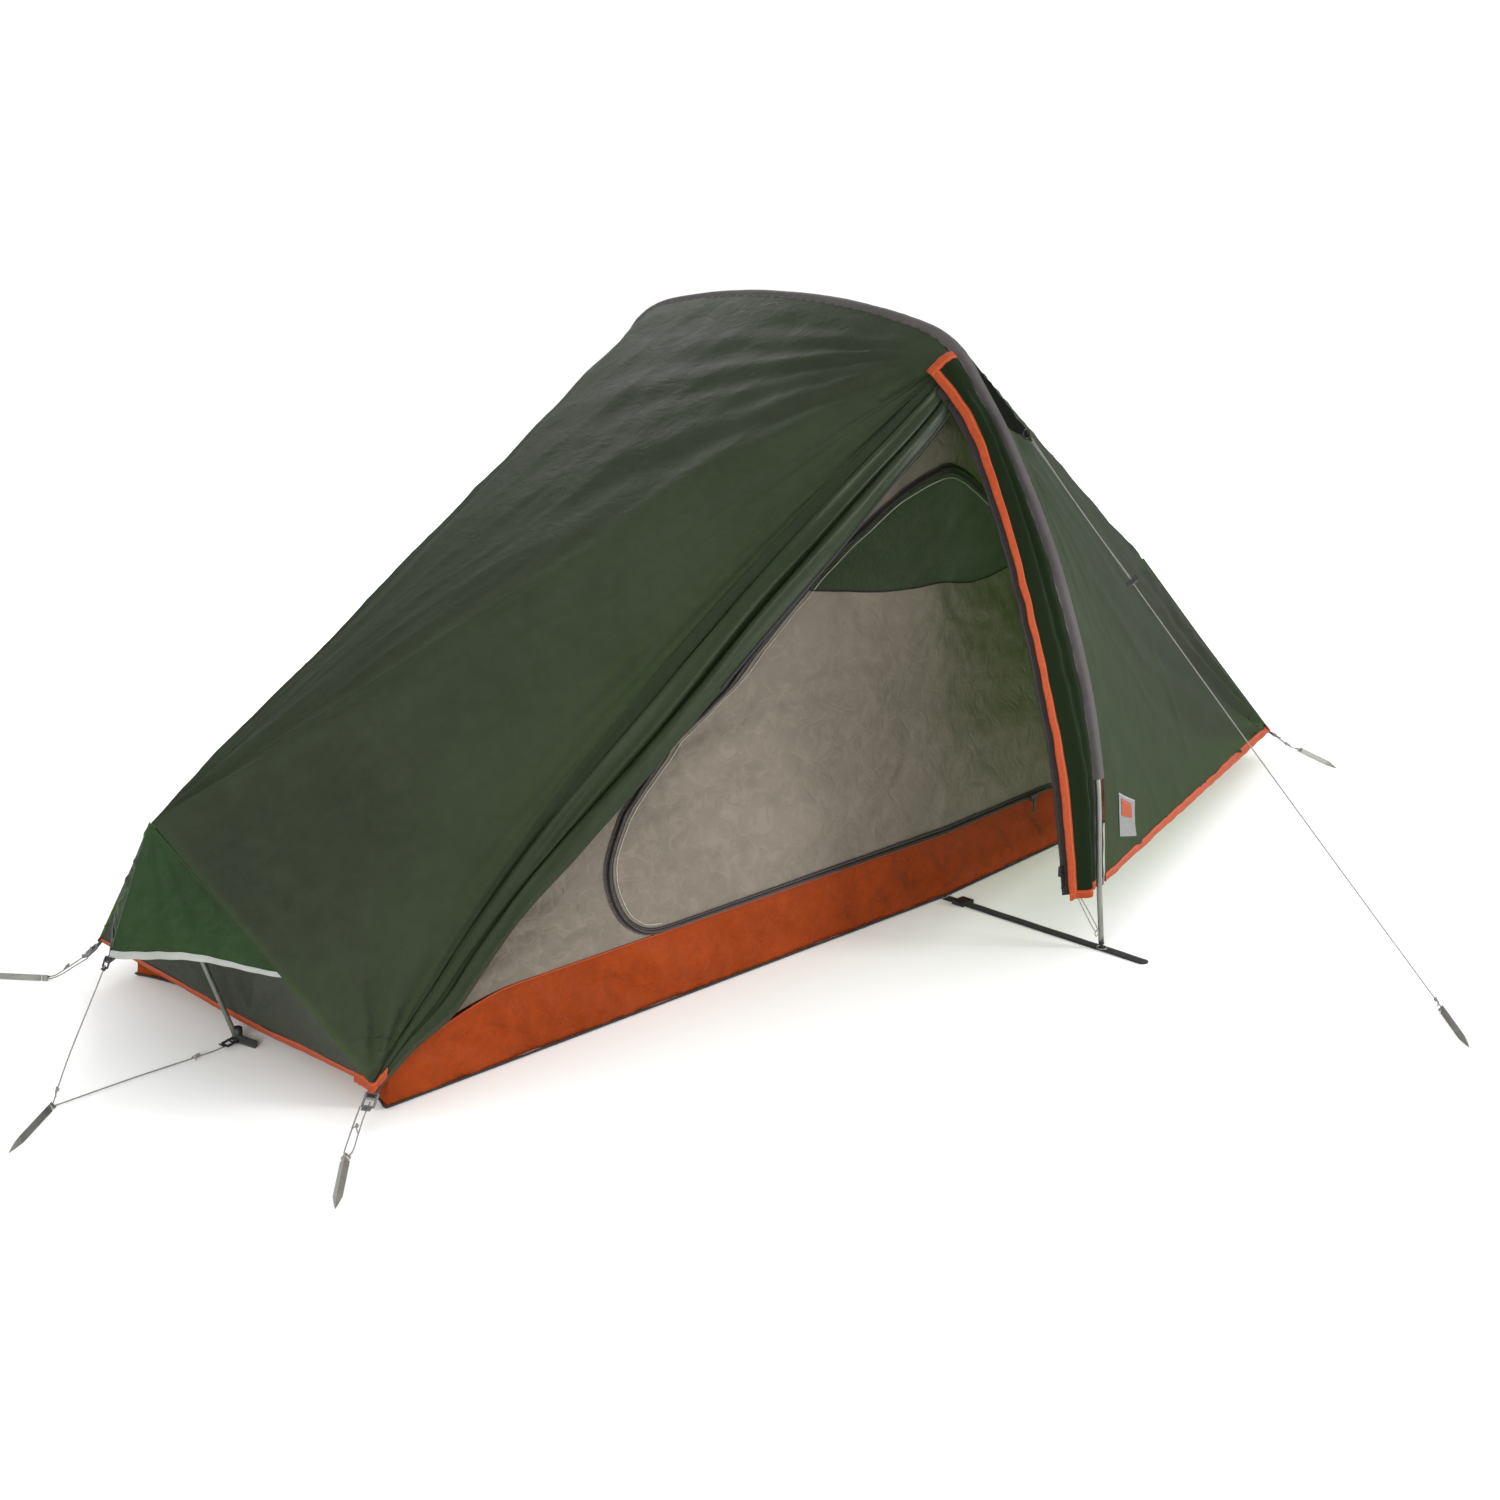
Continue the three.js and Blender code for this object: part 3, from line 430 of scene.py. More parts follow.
# ---- materials ----
class Shader:
    """A material built from nodes round one Principled shader."""

    def __init__(self, name, roughness, metallic=0.0, **values):
        self.material = bpy.data.materials.new(name)
        self.material.use_nodes = True
        self.tree = self.material.node_tree
        self.surface = self.tree.nodes["Principled BSDF"]
        self.output = self.tree.nodes["Material Output"]
        self.surface.inputs["Roughness"].default_value = roughness
        self.surface.inputs["Metallic"].default_value = metallic
        for socket, value in values.items():
            self.surface.inputs[socket.replace("_", " ")].default_value = value
        self.places = self.tree.nodes.new("ShaderNodeTexCoord")

    def node(self, kind, links=(), **values):
        made = self.tree.nodes.new(kind)
        for key, value in values.items():
            setattr(made, key, value)
        for socket, source in dict(links).items():
            if hasattr(source, "is_output"):
                self.tree.links.new(source, made.inputs[socket])
            else:
                made.inputs[socket].default_value = source
        return made

    def math(self, operation, a, b=0.0, clamp=False):
        return self.node("ShaderNodeMath", {0: a, 1: b}, operation=operation, use_clamp=clamp).outputs[0]

    def scaled(self, source, scale):
        return self.node("ShaderNodeMapping", {"Vector": source, "Scale": scale}).outputs[0]

    def noise(self, scale, detail=4.0, roughness=0.55, stretch=None, distortion=0.0):
        source = self.places.outputs["Object"]
        if stretch:
            source = self.scaled(source, stretch)
        values = {"Scale": scale, "Detail": detail, "Roughness": roughness, "Distortion": distortion}
        return self.node("ShaderNodeTexNoise", {"Vector": source, **values}).outputs["Fac"]

    def threads(self, pitch, axis, sharpness=2.0):
        """Raised lines a pitch apart along one cloth direction, from 0 to 1."""
        split = self.node("ShaderNodeSeparateXYZ", {0: self.places.outputs["UV"]}).outputs[axis]
        wave = self.math("SINE", self.math("MULTIPLY", split, TAU / pitch))
        return self.math("POWER", self.lifted(wave), sharpness)

    def lifted(self, wave):
        return self.math("MULTIPLY", self.math("ADD", wave, 1.0), 0.5)

    def ramp(self, factor, stops):
        made = self.node("ShaderNodeValToRGB", {"Fac": factor})
        while len(made.color_ramp.elements) < len(stops):
            made.color_ramp.elements.new(0.5)
        for element, (place, color) in zip(made.color_ramp.elements, stops):
            element.position = place
            element.color = (*color, 1)
        return made.outputs["Color"]

    def tones(self, factor, color, *stops):
        """A ramp between shades of one colour, each stop its place and its share of the colour."""
        return self.ramp(factor, [(place, shade(color, share)) for place, share in stops])

    def mix(self, share, one, two):
        """The surface is shader one, and shader two over a share of it."""
        mixed = self.node("ShaderNodeMixShader", {0: share, 1: one, 2: two})
        self.tree.links.new(mixed.outputs[0], self.output.inputs["Surface"])

    def add(self, *parts):
        """Weighted sum of (source, weight) pairs."""
        total = None
        for source, weight in parts:
            term = self.math("MULTIPLY", source, weight)
            total = term if total is None else self.math("ADD", total, term)
        return total

    def color(self, source):
        self.tree.links.new(source, self.surface.inputs["Base Color"])
        return self

    def roughness(self, factor, low, high):
        span = self.node("ShaderNodeMapRange", {"Value": factor, "To Min": low, "To Max": high})
        self.tree.links.new(span.outputs[0], self.surface.inputs["Roughness"])
        return self

    def bump(self, height, distance, strength=1.0):
        links = {"Height": height, "Distance": distance, "Strength": strength}
        made = self.node("ShaderNodeBump", links)
        self.tree.links.new(made.outputs[0], self.surface.inputs["Normal"])
        return self

    def through(self, share, tint):
        """Lets light through thin cloth, tinted."""
        glow = self.node("ShaderNodeBsdfTranslucent", {"Color": (*tint, 1)})
        self.mix(share, self.surface.outputs[0], glow.outputs[0])

    def plain(self, color):
        self.surface.inputs["Base Color"].default_value = (*color, 1)
        return self.material


def shade(color, share):
    return tuple(min(1.0, c * share) for c in color)


def cloth(name, color, roughness, tint=None, share=0.0, gloss=0.05, crumple=0.0012, ripstop=0.0055,
          crease_highlight=0.07):
    """Coated woven cloth: patchy dye, thin crease lines painted lighter as a painted highlight, soft creases,
    a fine weave and a ripstop grid.
    """
    shader = Shader(name, roughness, Sheen_Weight=0.006, Specular_IOR_Level=gloss)
    wide = shader.noise(3.2, 3.0)
    close = shader.noise(38, 5.0, 0.6)
    creases = shader.noise(11, 7.0, 0.62, distortion=0.6)
    bends = shader.noise(26, 3.0, 0.5, distortion=0.8)
    crackle = shader.math("ABSOLUTE", shader.math("SUBTRACT", bends, 0.5))
    # thin lines along the creases that lighten the colour: a painted highlight on the crease ridges, mixed
    # into the patchy dye below
    crest_highlight = shader.math("SUBTRACT", 1.0, shader.math("MULTIPLY", crackle, 26), clamp=True)
    dye_and_crest_highlight = shader.add((wide, 0.65), (close, 0.35), (crest_highlight, crease_highlight))
    shader.color(shader.tones(dye_and_crest_highlight, color, (0.30, 0.78), (0.50, 1), (0.72, 1.22)))
    shader.roughness(close, roughness - 0.09, roughness + 0.09)
    grain = shader.noise(900, 1.0)
    weave = shader.add((shader.threads(ripstop, "X", 14.0), 0.5), (shader.threads(ripstop, "Y", 14.0), 0.5))
    relief = (creases, crumple), (crackle, crumple * 0.9), (weave, 0.00005), (grain, 0.00003)
    shader.bump(shader.add(*relief), 1.0)
    if tint:
        shader.through(share, tint)
    return shader.material


def woven_tape(name, color, roughness=0.75, pitch=0.0016, stitch=None, stitch_places=()):
    """Ribbed narrow tape, with lines of raised stitches along it."""
    shader = Shader(name, roughness, Sheen_Weight=0.03, Specular_IOR_Level=0.15)
    ribs = shader.threads(pitch, "X", 1.5)
    close = shader.noise(160, 4.0)
    base = shader.tones(shader.add((close, 0.7), (ribs, 0.3)), color, (0.25, 0.7), (0.55, 1), (0.8, 1.25))
    height = shader.add((ribs, 0.00018), (close, 0.0002))
    for place in stitch_places:
        seam = stitches(shader, place)
        mix = shader.node("ShaderNodeMix", {"Factor": seam}, data_type="RGBA")
        shader.tree.links.new(base, mix.inputs[6])
        mix.inputs[7].default_value = (*stitch, 1)
        base = mix.outputs[2]
        height = shader.math("ADD", height, shader.math("MULTIPLY", seam, 0.0004))
    shader.color(base)
    return shader.bump(height, 1.0).material


STITCH_PITCH, STITCH_SHARE, STITCH_HALF = 0.004, 0.68, 0.00075


def stitches(shader, place):
    """1 on a dashed line at one distance across the tape, and 0 elsewhere."""
    split = shader.node("ShaderNodeSeparateXYZ", {0: shader.places.outputs["UV"]})
    step = shader.math("FRACT", shader.math("DIVIDE", split.outputs["X"], STITCH_PITCH))
    dash = shader.math("LESS_THAN", step, STITCH_SHARE)
    near = shader.math("ABSOLUTE", shader.math("SUBTRACT", split.outputs["Y"], place))
    return shader.math("MULTIPLY", dash, shader.math("LESS_THAN", near, STITCH_HALF))


def moulded(name, color, roughness=0.42):
    """Injection-moulded plastic with a faint spark finish and paler patches."""
    shader = Shader(name, roughness, Specular_IOR_Level=0.3)
    fine = shader.noise(700, 3.0, 0.6)
    wide = shader.noise(60, 3.0)
    shader.color(shader.tones(wide, color, (0.35, 0.8), (0.7, 1.5)))
    shader.roughness(wide, roughness - 0.1, roughness + 0.12)
    return shader.bump(fine, 0.00006).material


def alloy(name, color, roughness, brushed=(1, 1, 1)):
    """Anodised or bare alloy with drawn lines and handling marks."""
    shader = Shader(name, roughness, 0.9)
    lines = shader.noise(420, 3.0, 0.6, stretch=brushed)
    marks = shader.noise(45, 4.0, 0.6)
    both = shader.add((lines, 0.5), (marks, 0.5))
    shader.color(shader.tones(both, color, (0.3, 0.72), (0.55, 1), (0.8, 1.25)))
    shader.roughness(marks, roughness - 0.08, roughness + 0.15)
    return shader.bump(lines, 0.00004).material


def braided(name, color, fleck, pitch=0.0022):
    """Thin braided cord: crossing strands and a fleck thread."""
    shader = Shader(name, 0.7, Sheen_Weight=0.3)
    split = shader.node("ShaderNodeSeparateXYZ", {0: shader.places.outputs["UV"]})
    turn = shader.math("MULTIPLY", split.outputs["Y"], TAU / pitch)
    run = shader.math("MULTIPLY", split.outputs["X"], TAU / pitch)
    one = shader.math("SINE", shader.math("ADD", turn, run))
    two = shader.math("SINE", shader.math("SUBTRACT", turn, run))
    strands = shader.lifted(shader.math("MULTIPLY", one, two))
    shader.color(shader.ramp(shader.add((strands, 0.6), (shader.noise(260, 2.0), 0.4)), [
        (0.25, fleck), (0.5, color), (0.8, shade(color, 1.2)),
    ]))
    return shader.bump(strands, 0.00025).material


def netting(name, color, share, hole=0.0022):
    """Fine insect netting: threads round small holes, over a share that is always open."""
    shader = Shader(name, 0.8, Sheen_Weight=0.2)
    lines = shader.math("MAXIMUM", shader.threads(hole, "X", 1.6), shader.threads(hole, "Y", 1.6))
    shader.color(shader.tones(shader.noise(30, 3.0), color, (0.3, 0.75), (0.7, 1.25)))
    span = {"Value": lines, "To Min": min(1, share * 1.5), "To Max": share * 0.4}
    open_share = shader.node("ShaderNodeMapRange", span).outputs[0]
    clear = shader.node("ShaderNodeBsdfTransparent").outputs[0]
    shader.mix(open_share, shader.surface.outputs[0], clear)
    return shader.bump(lines, 0.0003).material


def zip_teeth(name, color):
    """Nylon zip coil: closely spaced turns along its length."""
    shader = Shader(name, 0.4)
    turns = shader.threads(0.0018, "X", 1.0)
    shader.color(shader.tones(turns, color, (0.2, 0.5), (0.8, 1.6)))
    return shader.bump(turns, 0.0005).material


def reflective(name, color):
    """Glass-bead reflective tape with one row of stitches."""
    shader = Shader(name, 0.5, Specular_IOR_Level=0.2)
    beads = shader.noise(1100, 2.0)
    wide = shader.noise(26, 4.0)
    shader.color(shader.tones(shader.add((beads, 0.3), (wide, 0.7)), color, (0.3, 0.82), (0.7, 1.1)))
    return shader.bump(shader.add((beads, 0.00008), (stitches(shader, 0.0125), 0.0004)), 1.0).material


ORANGE = (0.31, 0.046, 0.011)
M = {
    "fly": cloth("fly_cloth", (0.031, 0.038, 0.025), 0.56, (0.17, 0.36, 0.04), 0.20, gloss=0.03,
                 crumple=0.0026),
    # the head half is the same cloth as the foot half; its darker, greyer colour is painted shade on the head
    # panels
    "fly_head": cloth("fly_head_shaded_cloth", (0.026, 0.028, 0.022), 0.56, (0.16, 0.48, 0.03), 0.22, gloss=0.02,
                      crumple=0.0018),
    "fly_hood": cloth("fly_hood_cloth", (0.021, 0.040, 0.018), 0.48, (0.14, 0.34, 0.06), 0.16, crumple=0.006,
                      crease_highlight=0.12),
    "fly_end": cloth("fly_end_cloth", (0.040, 0.044, 0.034), 0.55, (0.16, 0.28, 0.06), 0.12, crumple=0.003),
    "door": cloth("fly_door_cloth", (0.020, 0.028, 0.014), 0.42, (0.10, 0.30, 0.03), 0.14, gloss=0.12),
    "flap": cloth("fly_flap_cloth", (0.008, 0.013, 0.006), 0.50, (0.08, 0.24, 0.02), 0.12, gloss=0.03),
    "inner": cloth("inner_cloth", (0.240, 0.208, 0.172), 0.66, (0.50, 0.46, 0.36), 0.36, crumple=0.006,
                   crease_highlight=0.16),
    "tub": cloth("tub_cloth", (0.235, 0.038, 0.007), 0.50, (0.40, 0.08, 0.02), 0.10, gloss=0.04,
                 crumple=0.006, crease_highlight=0.10),
    "sleeve": cloth("sleeve_cloth", (0.070, 0.064, 0.064), 0.68, gloss=0.1, crumple=0.003, ripstop=0.0016),
    # near-black cloth for the patch at the guy point: painted shade for the dark gap there
    "patch": cloth("guy_gap_shade_cloth", (0.005, 0.006, 0.005), 0.7, gloss=0.0),
    "binding": woven_tape("orange_binding", ORANGE, 0.6, stitch=(0.50, 0.10, 0.03), stitch_places=(0.0035,)),
    "webbing": woven_tape("dark_webbing", (0.030, 0.031, 0.032), stitch=(0.10, 0.10, 0.10),
                          stitch_places=(0.002,)),
    "strap": woven_tape("grey_webbing", (0.16, 0.16, 0.155)),
    "zip_tape": woven_tape("zip_tape", (0.028, 0.022, 0.020), 0.7, stitch=(0.09, 0.08, 0.07),
                           stitch_places=(0.003, 0.013)),
    "coil": zip_teeth("zip_coil", (0.018, 0.015, 0.014)),
    "thread": woven_tape("pale_thread", (0.42, 0.40, 0.35), 0.7, pitch=0.004),
    "net": netting("insect_net", (0.016, 0.026, 0.012), 0.42),
    "reflective": reflective("reflective_tape", (0.29, 0.30, 0.28)),
    "plastic": moulded("black_plastic", (0.016, 0.016, 0.018)),
    "grey_plastic": moulded("grey_plastic", (0.10, 0.10, 0.10), 0.4),
    "pole": alloy("pole_alloy", (0.24, 0.25, 0.22), 0.36, (1, 1, 0.05)),
    "peg": alloy("peg_alloy", (0.30, 0.30, 0.28), 0.42),
    "cord": braided("pale_cord", (0.20, 0.195, 0.175), (0.06, 0.06, 0.055)),
    "elastic": braided("dark_elastic", (0.05, 0.05, 0.05), (0.015, 0.015, 0.015)),
    "label_grey": woven_tape("label_cloth", (0.20, 0.20, 0.20), 0.7, stitch=(0.4, 0.4, 0.4),
                             stitch_places=(0.0018,)),
}


def cord(name, points, replaces=(), radius=CORD_RADIUS, count=32):
    """A cord on a smooth route."""
    line = Path(points).evenly(count)
    piece = tube(f"{name}_strand", line, radius, M["cord"])
    if replaces:
        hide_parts(*replaces)


def knot(name, place, along, size):
    """A small overhand knot: two and a half turns of cord, with its two cut tails."""
    place, along = np.array(place, float), unit(along)
    side = unit(np.cross(along, (0.1, 0.2, 1)))
    normal = np.cross(side, along)
    turn = np.linspace(0, 2.6 * TAU, 60)
    radius = size * (0.55 + 0.12 * np.sin(turn * 0.7))
    line = (place + side * (np.cos(turn) * radius)[:, None] + normal * (np.sin(turn) * radius)[:, None]
            + along * ((turn / turn[-1] - 0.5) * size * 1.7)[:, None])
    pieces = [tube(name, line, size * 0.34, M["cord"], ride=None)]
    steps = np.linspace(0, 1, 8)[:, None]
    for k, aside in enumerate((-0.7, 0.9)):
        lean = side * aside + along * 0.8 - np.array([0, 0, 0.5])
        tail = place + unit(lean) * steps * size * 3.6 + normal * np.sin(steps * 3) * size * 0.6
        pieces.append(tube(f"{name}_tail_{k}", tail, size * 0.3, M["cord"], ride=None))
    return join(name, pieces)


def make_cords():
    knots = {name: knot(tie, place, along, KNOT) for name, (tie, place, along, _) in TIES.items()}
    for name, route in ROUTES.items():
        cord(name, route, replaces=[name])
    top, end = np.array(GUY_TOP), np.array(GUY_END)
    straight = lerp(top, end, np.linspace(0, 1, 17))
    straight[:, 2] -= 0.004 * np.sin(np.linspace(0, math.pi, 17))
    tie = knot("guy_knot", lerp(top, end, 0.985), end - top, 0.0034)
    cord("guy_line", straight, replaces=["guy_line"], count=60)
    make_guy_return(top, end)


def make_guy_return(top, end):
    """The guy line's second strand, from the ring back down to the line lock, which pulls it along."""
    lock = lerp(top, end, LOCK_AT)
    start = top + np.array([-0.004, -0.002, 0.006])
    line = lerp(start, lock + np.array([-0.006, -0.001, 0.004]), np.linspace(0, 1, 40))
    line[:, 0] -= 0.004 * np.sin(np.linspace(0, math.pi, 40))
    piece = tube("guy_return", line, CORD_RADIUS, M["cord"], ride=None)
    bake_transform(piece)


# ---- the fly's edges ----
def at_end(end, x, y, z):
    return np.array([end["side"] * x, y, z])


def spot(end, key):
    """A point of the tent's middle plane."""
    x, z = end[key]
    return at_end(end, x, 0, z)


def peak_of(end):
    return spot(end, "peak")


def corner_of(end, across):
    x, y, z = end["corner"]
    return at_end(end, x, across * y, z)


def shoulder_of(end, across):
    return at_end(end, FLY_X, across * CROWN[0][0], CROWN[0][1])


def leg_edge(end, across):
    """From the shoulder down to the hem, beside the sleeve."""
    return Path([at_end(end, FLY_X, across * y, z) for y, z in reversed(LEG[1:])])


def crown_edge(end):
    """Over the top, from the near shoulder to the far one."""
    near = [at_end(end, FLY_X, -y, z) for y, z in CROWN]
    far = [at_end(end, FLY_X, y, z) for y, z in reversed(CROWN[:-1])]
    return Path(near + far)


def dip(share_u, share_v, depth):
    return -depth * np.sin(math.pi * share_u) * np.sin(math.pi * share_v)


def finish_sheet(name, points, height, material, replaces):
    moved = points + normals_of(points) * height[..., None]
    piece = grid(name, moved, material, weld=True)
    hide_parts(*replaces)
    declare(moved)
    return piece, moved


def surface_area(points):
    a, b = np.diff(points, axis=0)[:, :-1], np.diff(points, axis=1)[:-1]
    return float(np.linalg.norm(np.cross(a, b), axis=-1).sum())


def declare(points, layers=1):
    """Works out cloth's cut over its grid: its greatest width and length, and its area, widening the width
    where the area asks for it. Nothing is kept.
    """
    area = surface_area(points) / layers
    width = np.linalg.norm(np.diff(points, axis=0), axis=2).sum(0).max() / layers
    length = np.linalg.norm(np.diff(points, axis=1), axis=2).sum(1).max()
    share = area / (width * length)
    if share > 1:
        width *= share


# ---- the fly, foot half, running on into the gathered door ----
ALONG = 120  # points from the hoop to the end of the tent
ROWS = 64  # rows across each of the fly's panels
ROW_STEP = 0.012  # about how far apart they are


def gather_frame():
    """The gathered door's start and end, and its directions across and outward."""
    start, end = shoulder_of(FOOT, -1), corner_of(FOOT, -1)
    along = unit(end - start)
    across = peak_of(FOOT) - start
    across = unit(across - along * (across @ along))
    return start, end, across, np.cross(across, along)


def fly_foot_rows():
    """Rows of points from the far hem over the roof to the gather's upper edge, and how far they sag."""
    v = np.linspace(0, 1, ALONG)
    peak, far_corner, near_corner = peak_of(FOOT), corner_of(FOOT, 1), corner_of(FOOT, -1)
    leg, crown = leg_edge(FOOT, 1), crown_edge(FOOT)
    shoulder, _, across, _ = gather_frame()
    upper = gather_width(v, UPPER_EDGE)
    roof_sag = -0.007 * np.sin(math.pi * v)
    rows, sag = [], []
    for a in np.linspace(0, 1, ROWS):
        rows.append(lerp(leg(1 - a), lerp(far_corner, peak, a), v))
        sag.append(dip(a, v, 0.014))
    for a in np.linspace(0, 1, ROWS)[1:]:
        rows.append(lerp(crown(1 - a), peak, v))
        sag.append(roof_sag)
    for a in np.linspace(0, 1, ROWS)[1:]:
        row = lerp(shoulder, lerp(peak, near_corner, a), v)
        rows.append(row + across * (upper * a**5)[:, None])
        sag.append(dip(a, v, 0.012) + roof_sag * (1 - a) ** 2)
    return np.array(rows), np.array(sag), v


# the gather's reach above and below its line, by the share of the way along it
UPPER_EDGE = [(0, 0.004), (0.1, 0.018), (0.3, 0.042), (0.5, 0.056), (0.7, 0.056), (0.9, 0.032), (1, 0.004)]
LOWER_EDGE = [
    (0, 0.050), (0.1, 0.050), (0.2, 0.046), (0.3, 0.044), (0.4, 0.039), (0.5, 0.036), (0.6, 0.031),
    (0.7, 0.022), (0.78, 0.015), (0.85, 0.018), (0.90, 0.023), (0.95, 0.010), (1, 0.004),
]


def gather_width(v, outline):
    """The gather's reach on one side of its line, at the shares v of the way along it."""
    curve = Path(outline).points
    return np.interp(v, curve[:, 0], curve[:, 1])


def gather_rows(v):
    """The open door, pushed into long pleats along the line from the shoulder to the near foot corner."""
    start, end, across, outward = gather_frame()
    line = lerp(start, end, v)
    upper, lower = gather_width(v, UPPER_EDGE), gather_width(v, LOWER_EDGE)
    width = upper + lower
    swell = smoothstep(v, 0, 0.25) * smoothstep(1 - v, 0, 0.30)
    leg = start - leg_edge(FOOT, -1)(0.06)
    fall = unit(lerp(unit(leg), across, smoothstep(v, 0.01, 0.16)))
    rows = []
    for q in np.linspace(0, 1, 110)[1:]:
        begin = smoothstep(q, 0, 0.16)
        drift = 0.05 * np.sin(TAU * v * 1.1 + 1) + 0.03 * np.sin(TAU * v * 2.7 + 2) + 0.12 * v
        turn = TAU * (2.6 * q**0.9 + drift)
        small = TAU * (6.2 * q + 0.22 * np.sin(TAU * v * 0.8) + 0.10 * np.sin(TAU * v * 3.3))
        sideways = upper - width * q + begin * width * 0.075 * np.sin(turn + 1.3)
        depth = 0.0045 + 0.0110 * swell * (0.75 + 0.25 * np.sin(TAU * (1.4 * v + q)))
        lift = begin * depth * (np.sin(turn) + 0.30 * np.sin(2 * turn + 0.7) + 0.20 * np.sin(small))
        lift = lift + 0.012 * swell * np.sin(math.pi * q) - 0.014 * smoothstep(q, 0.88, 1)
        sideways = sideways + 0.010 * swell * smoothstep(q, 0.92, 1)
        lift = lift * (0.15 + 0.85 * smoothstep(v, 0, 0.06))
        rows.append(line + fall * sideways[:, None] + outward * lift[:, None])
    return np.array(rows)


def make_fly_foot():
    roof, sag, v = fly_foot_rows()
    gather = gather_rows(v)
    count = len(roof)
    points = np.concatenate([roof, gather])
    sag = np.concatenate([sag, np.zeros((len(gather), ALONG))])
    peak, near, far = peak_of(FOOT), corner_of(FOOT, -1), corner_of(FOOT, 1)
    height = add_folds(sag, points, [
        (0.0040, shoulder_of(FOOT, -1), (0, 1, 0.2), (-1, 0, -0.6), 5, 0.42),
        (0.0170, near, (0, 1, 0.6), (0.8, 0, 0.6), 6, 0.10, 10, 30, 0.025),
        (0.0050, far, (0, -1, 0.6), (0.8, 0, 0.6), 7, 0.24),
        (0.0065, peak, (0, 1, 0), (1, 0, 0.4), 8, 0.24, 14, 34),
    ])
    height = add_waves(height, *cloth_places(points), [
        (0.0014, ripples, 9, 0.06, 0.26, 1.45, 0.5),
        (0.0018, ridges, 10, 0.14, 0.40, 1.3, 0.6),
        (0.0007, ridges, 11, 0.05, 0.12, 0.9, 1.2),
    ])
    height = height * sewn_edges(v)
    height[count - 1:] *= 0.35
    nodes = ["fly_far_foot_side", "fly_foot_roof", "fly_near_foot_side", "fly_door_roll"]
    piece, moved = finish_sheet("fly_foot", points, height, M["fly"], nodes)
    piece.data.materials.append(M["door"])
    paint_gather(piece.data)
    corner_seam("near_foot_seam", moved[count - SEAM_ROWS:count], near)
    corner_seam("far_foot_seam", moved[:SEAM_ROWS], far)
    binding("fly_far_foot_hem", moved[0], moved[4] - moved[0])
    piping("gather_piping", moved[-9][3:58] + gather_frame()[3] * 0.002, 0.0019)
    make_corner_trim()


def cloth_places(points):
    """Each point's distance from the hoop along its row, and about how far across the rows it is."""
    return np.linalg.norm(points - points[:, :1], axis=-1), np.arange(len(points))[:, None] * ROW_STEP


def sewn_edges(v):
    """0 where the fly is sewn to the sleeve and the end walls, and 1 away from there."""
    return smoothstep(v, 0, 0.05) * smoothstep(1 - v, 0, 0.04)


SEAM_ROWS = 58  # rows of a side panel that a corner's seam crosses
SEAM_REACH = 0.068


def corner_seam(name, rows, corner):
    """The stitched edge of a corner's reinforcing patch, an arc on the cloth round the corner."""
    arc = []
    for row in rows[:, -40:]:
        far = np.linalg.norm(row - corner, axis=1)
        if far.min() < SEAM_REACH:
            arc.append([np.interp(-SEAM_REACH, -far, axis) for axis in row.T])
    line = Path(arc).evenly(60)
    out = unit(line - np.array([0, 0, 0.2])) * 0.0004
    tube(name, line + out, 0.0009, M["fly_end"], sides=6)


def paint_gather(mesh):
    """The door's inner face shows in its pleats, so those faces take the door's cloth."""
    start, end, across, _ = gather_frame()
    centre = np.zeros(len(mesh.polygons) * 3)
    mesh.polygons.foreach_get("center", centre)
    centre = centre.reshape(-1, 3)
    rise = (centre - start) @ across
    run = np.clip((centre - start) @ unit(end - start) / np.linalg.norm(end - start), 0, 1)
    near = centre[:, 1] < -0.25
    inside = near & (rise < gather_width(run, UPPER_EDGE) - 0.004)
    mesh.polygons.foreach_set("material_index", inside.astype(np.int32))


def make_corner_trim():
    """Orange tape that wraps the near foot corner, from the end wall's hem round to the gathered door."""
    corner = corner_of(FOOT, -1)
    hem = unit(spot(FOOT, "wall_bottom") - corner)
    door = unit(shoulder_of(FOOT, -1) - corner)
    out = np.array([-0.004, -0.004, -0.003])
    line = Path([
        corner + hem * 0.05 + out * 0.8, corner + hem * 0.02 + out, corner + out * 1.5,
        corner + door * 0.014 + out * 1.6, corner + door * 0.030 + out * 2,
    ]).evenly(40)
    binding("near_foot_corner_trim", line, np.tile(unit(np.array([0.35, 0.25, 0.9])), (40, 1)))


# ---- trims ----
def binding(name, edge, inward, width=0.013, material="binding", lift=0.0012):
    """Tape folded over a hem: up one side, round the edge and down the other."""
    inward = unit(inward)
    tangent = unit(np.gradient(edge, axis=0))
    normal = unit(np.cross(tangent, inward))
    rng = np.random.default_rng(len(name))
    wave = 0.0004 * np.sin(np.arange(len(edge)) * 0.9 + rng.uniform(0, 6))
    outer = [(width, lift * 0.7), (width * 0.6, lift), (width * 0.2, lift), (-0.0008, lift * 0.7)]
    profile = outer + [(-0.0016, 0)] + [(x, -y) for x, y in reversed(outer)]
    points = np.stack([edge + inward * (x + wave[:, None]) + normal * y for x, y in profile])
    across = np.array([width - x for x, _ in profile])
    uv = np.stack(np.broadcast_arrays(run_of(edge)[None, :], across[:, None]), -1)
    piece = build(name, points, grid_faces(*points.shape[:2]), uv, M[material])
    settle(piece, TENT)


def piping(name, line, radius, material="webbing"):
    tube(name, line, radius, M[material])


# ---- the fly, head half ----
GUY_PULL = (0.04, -0.47, 0.80)  # where the guy line draws the cloth tight


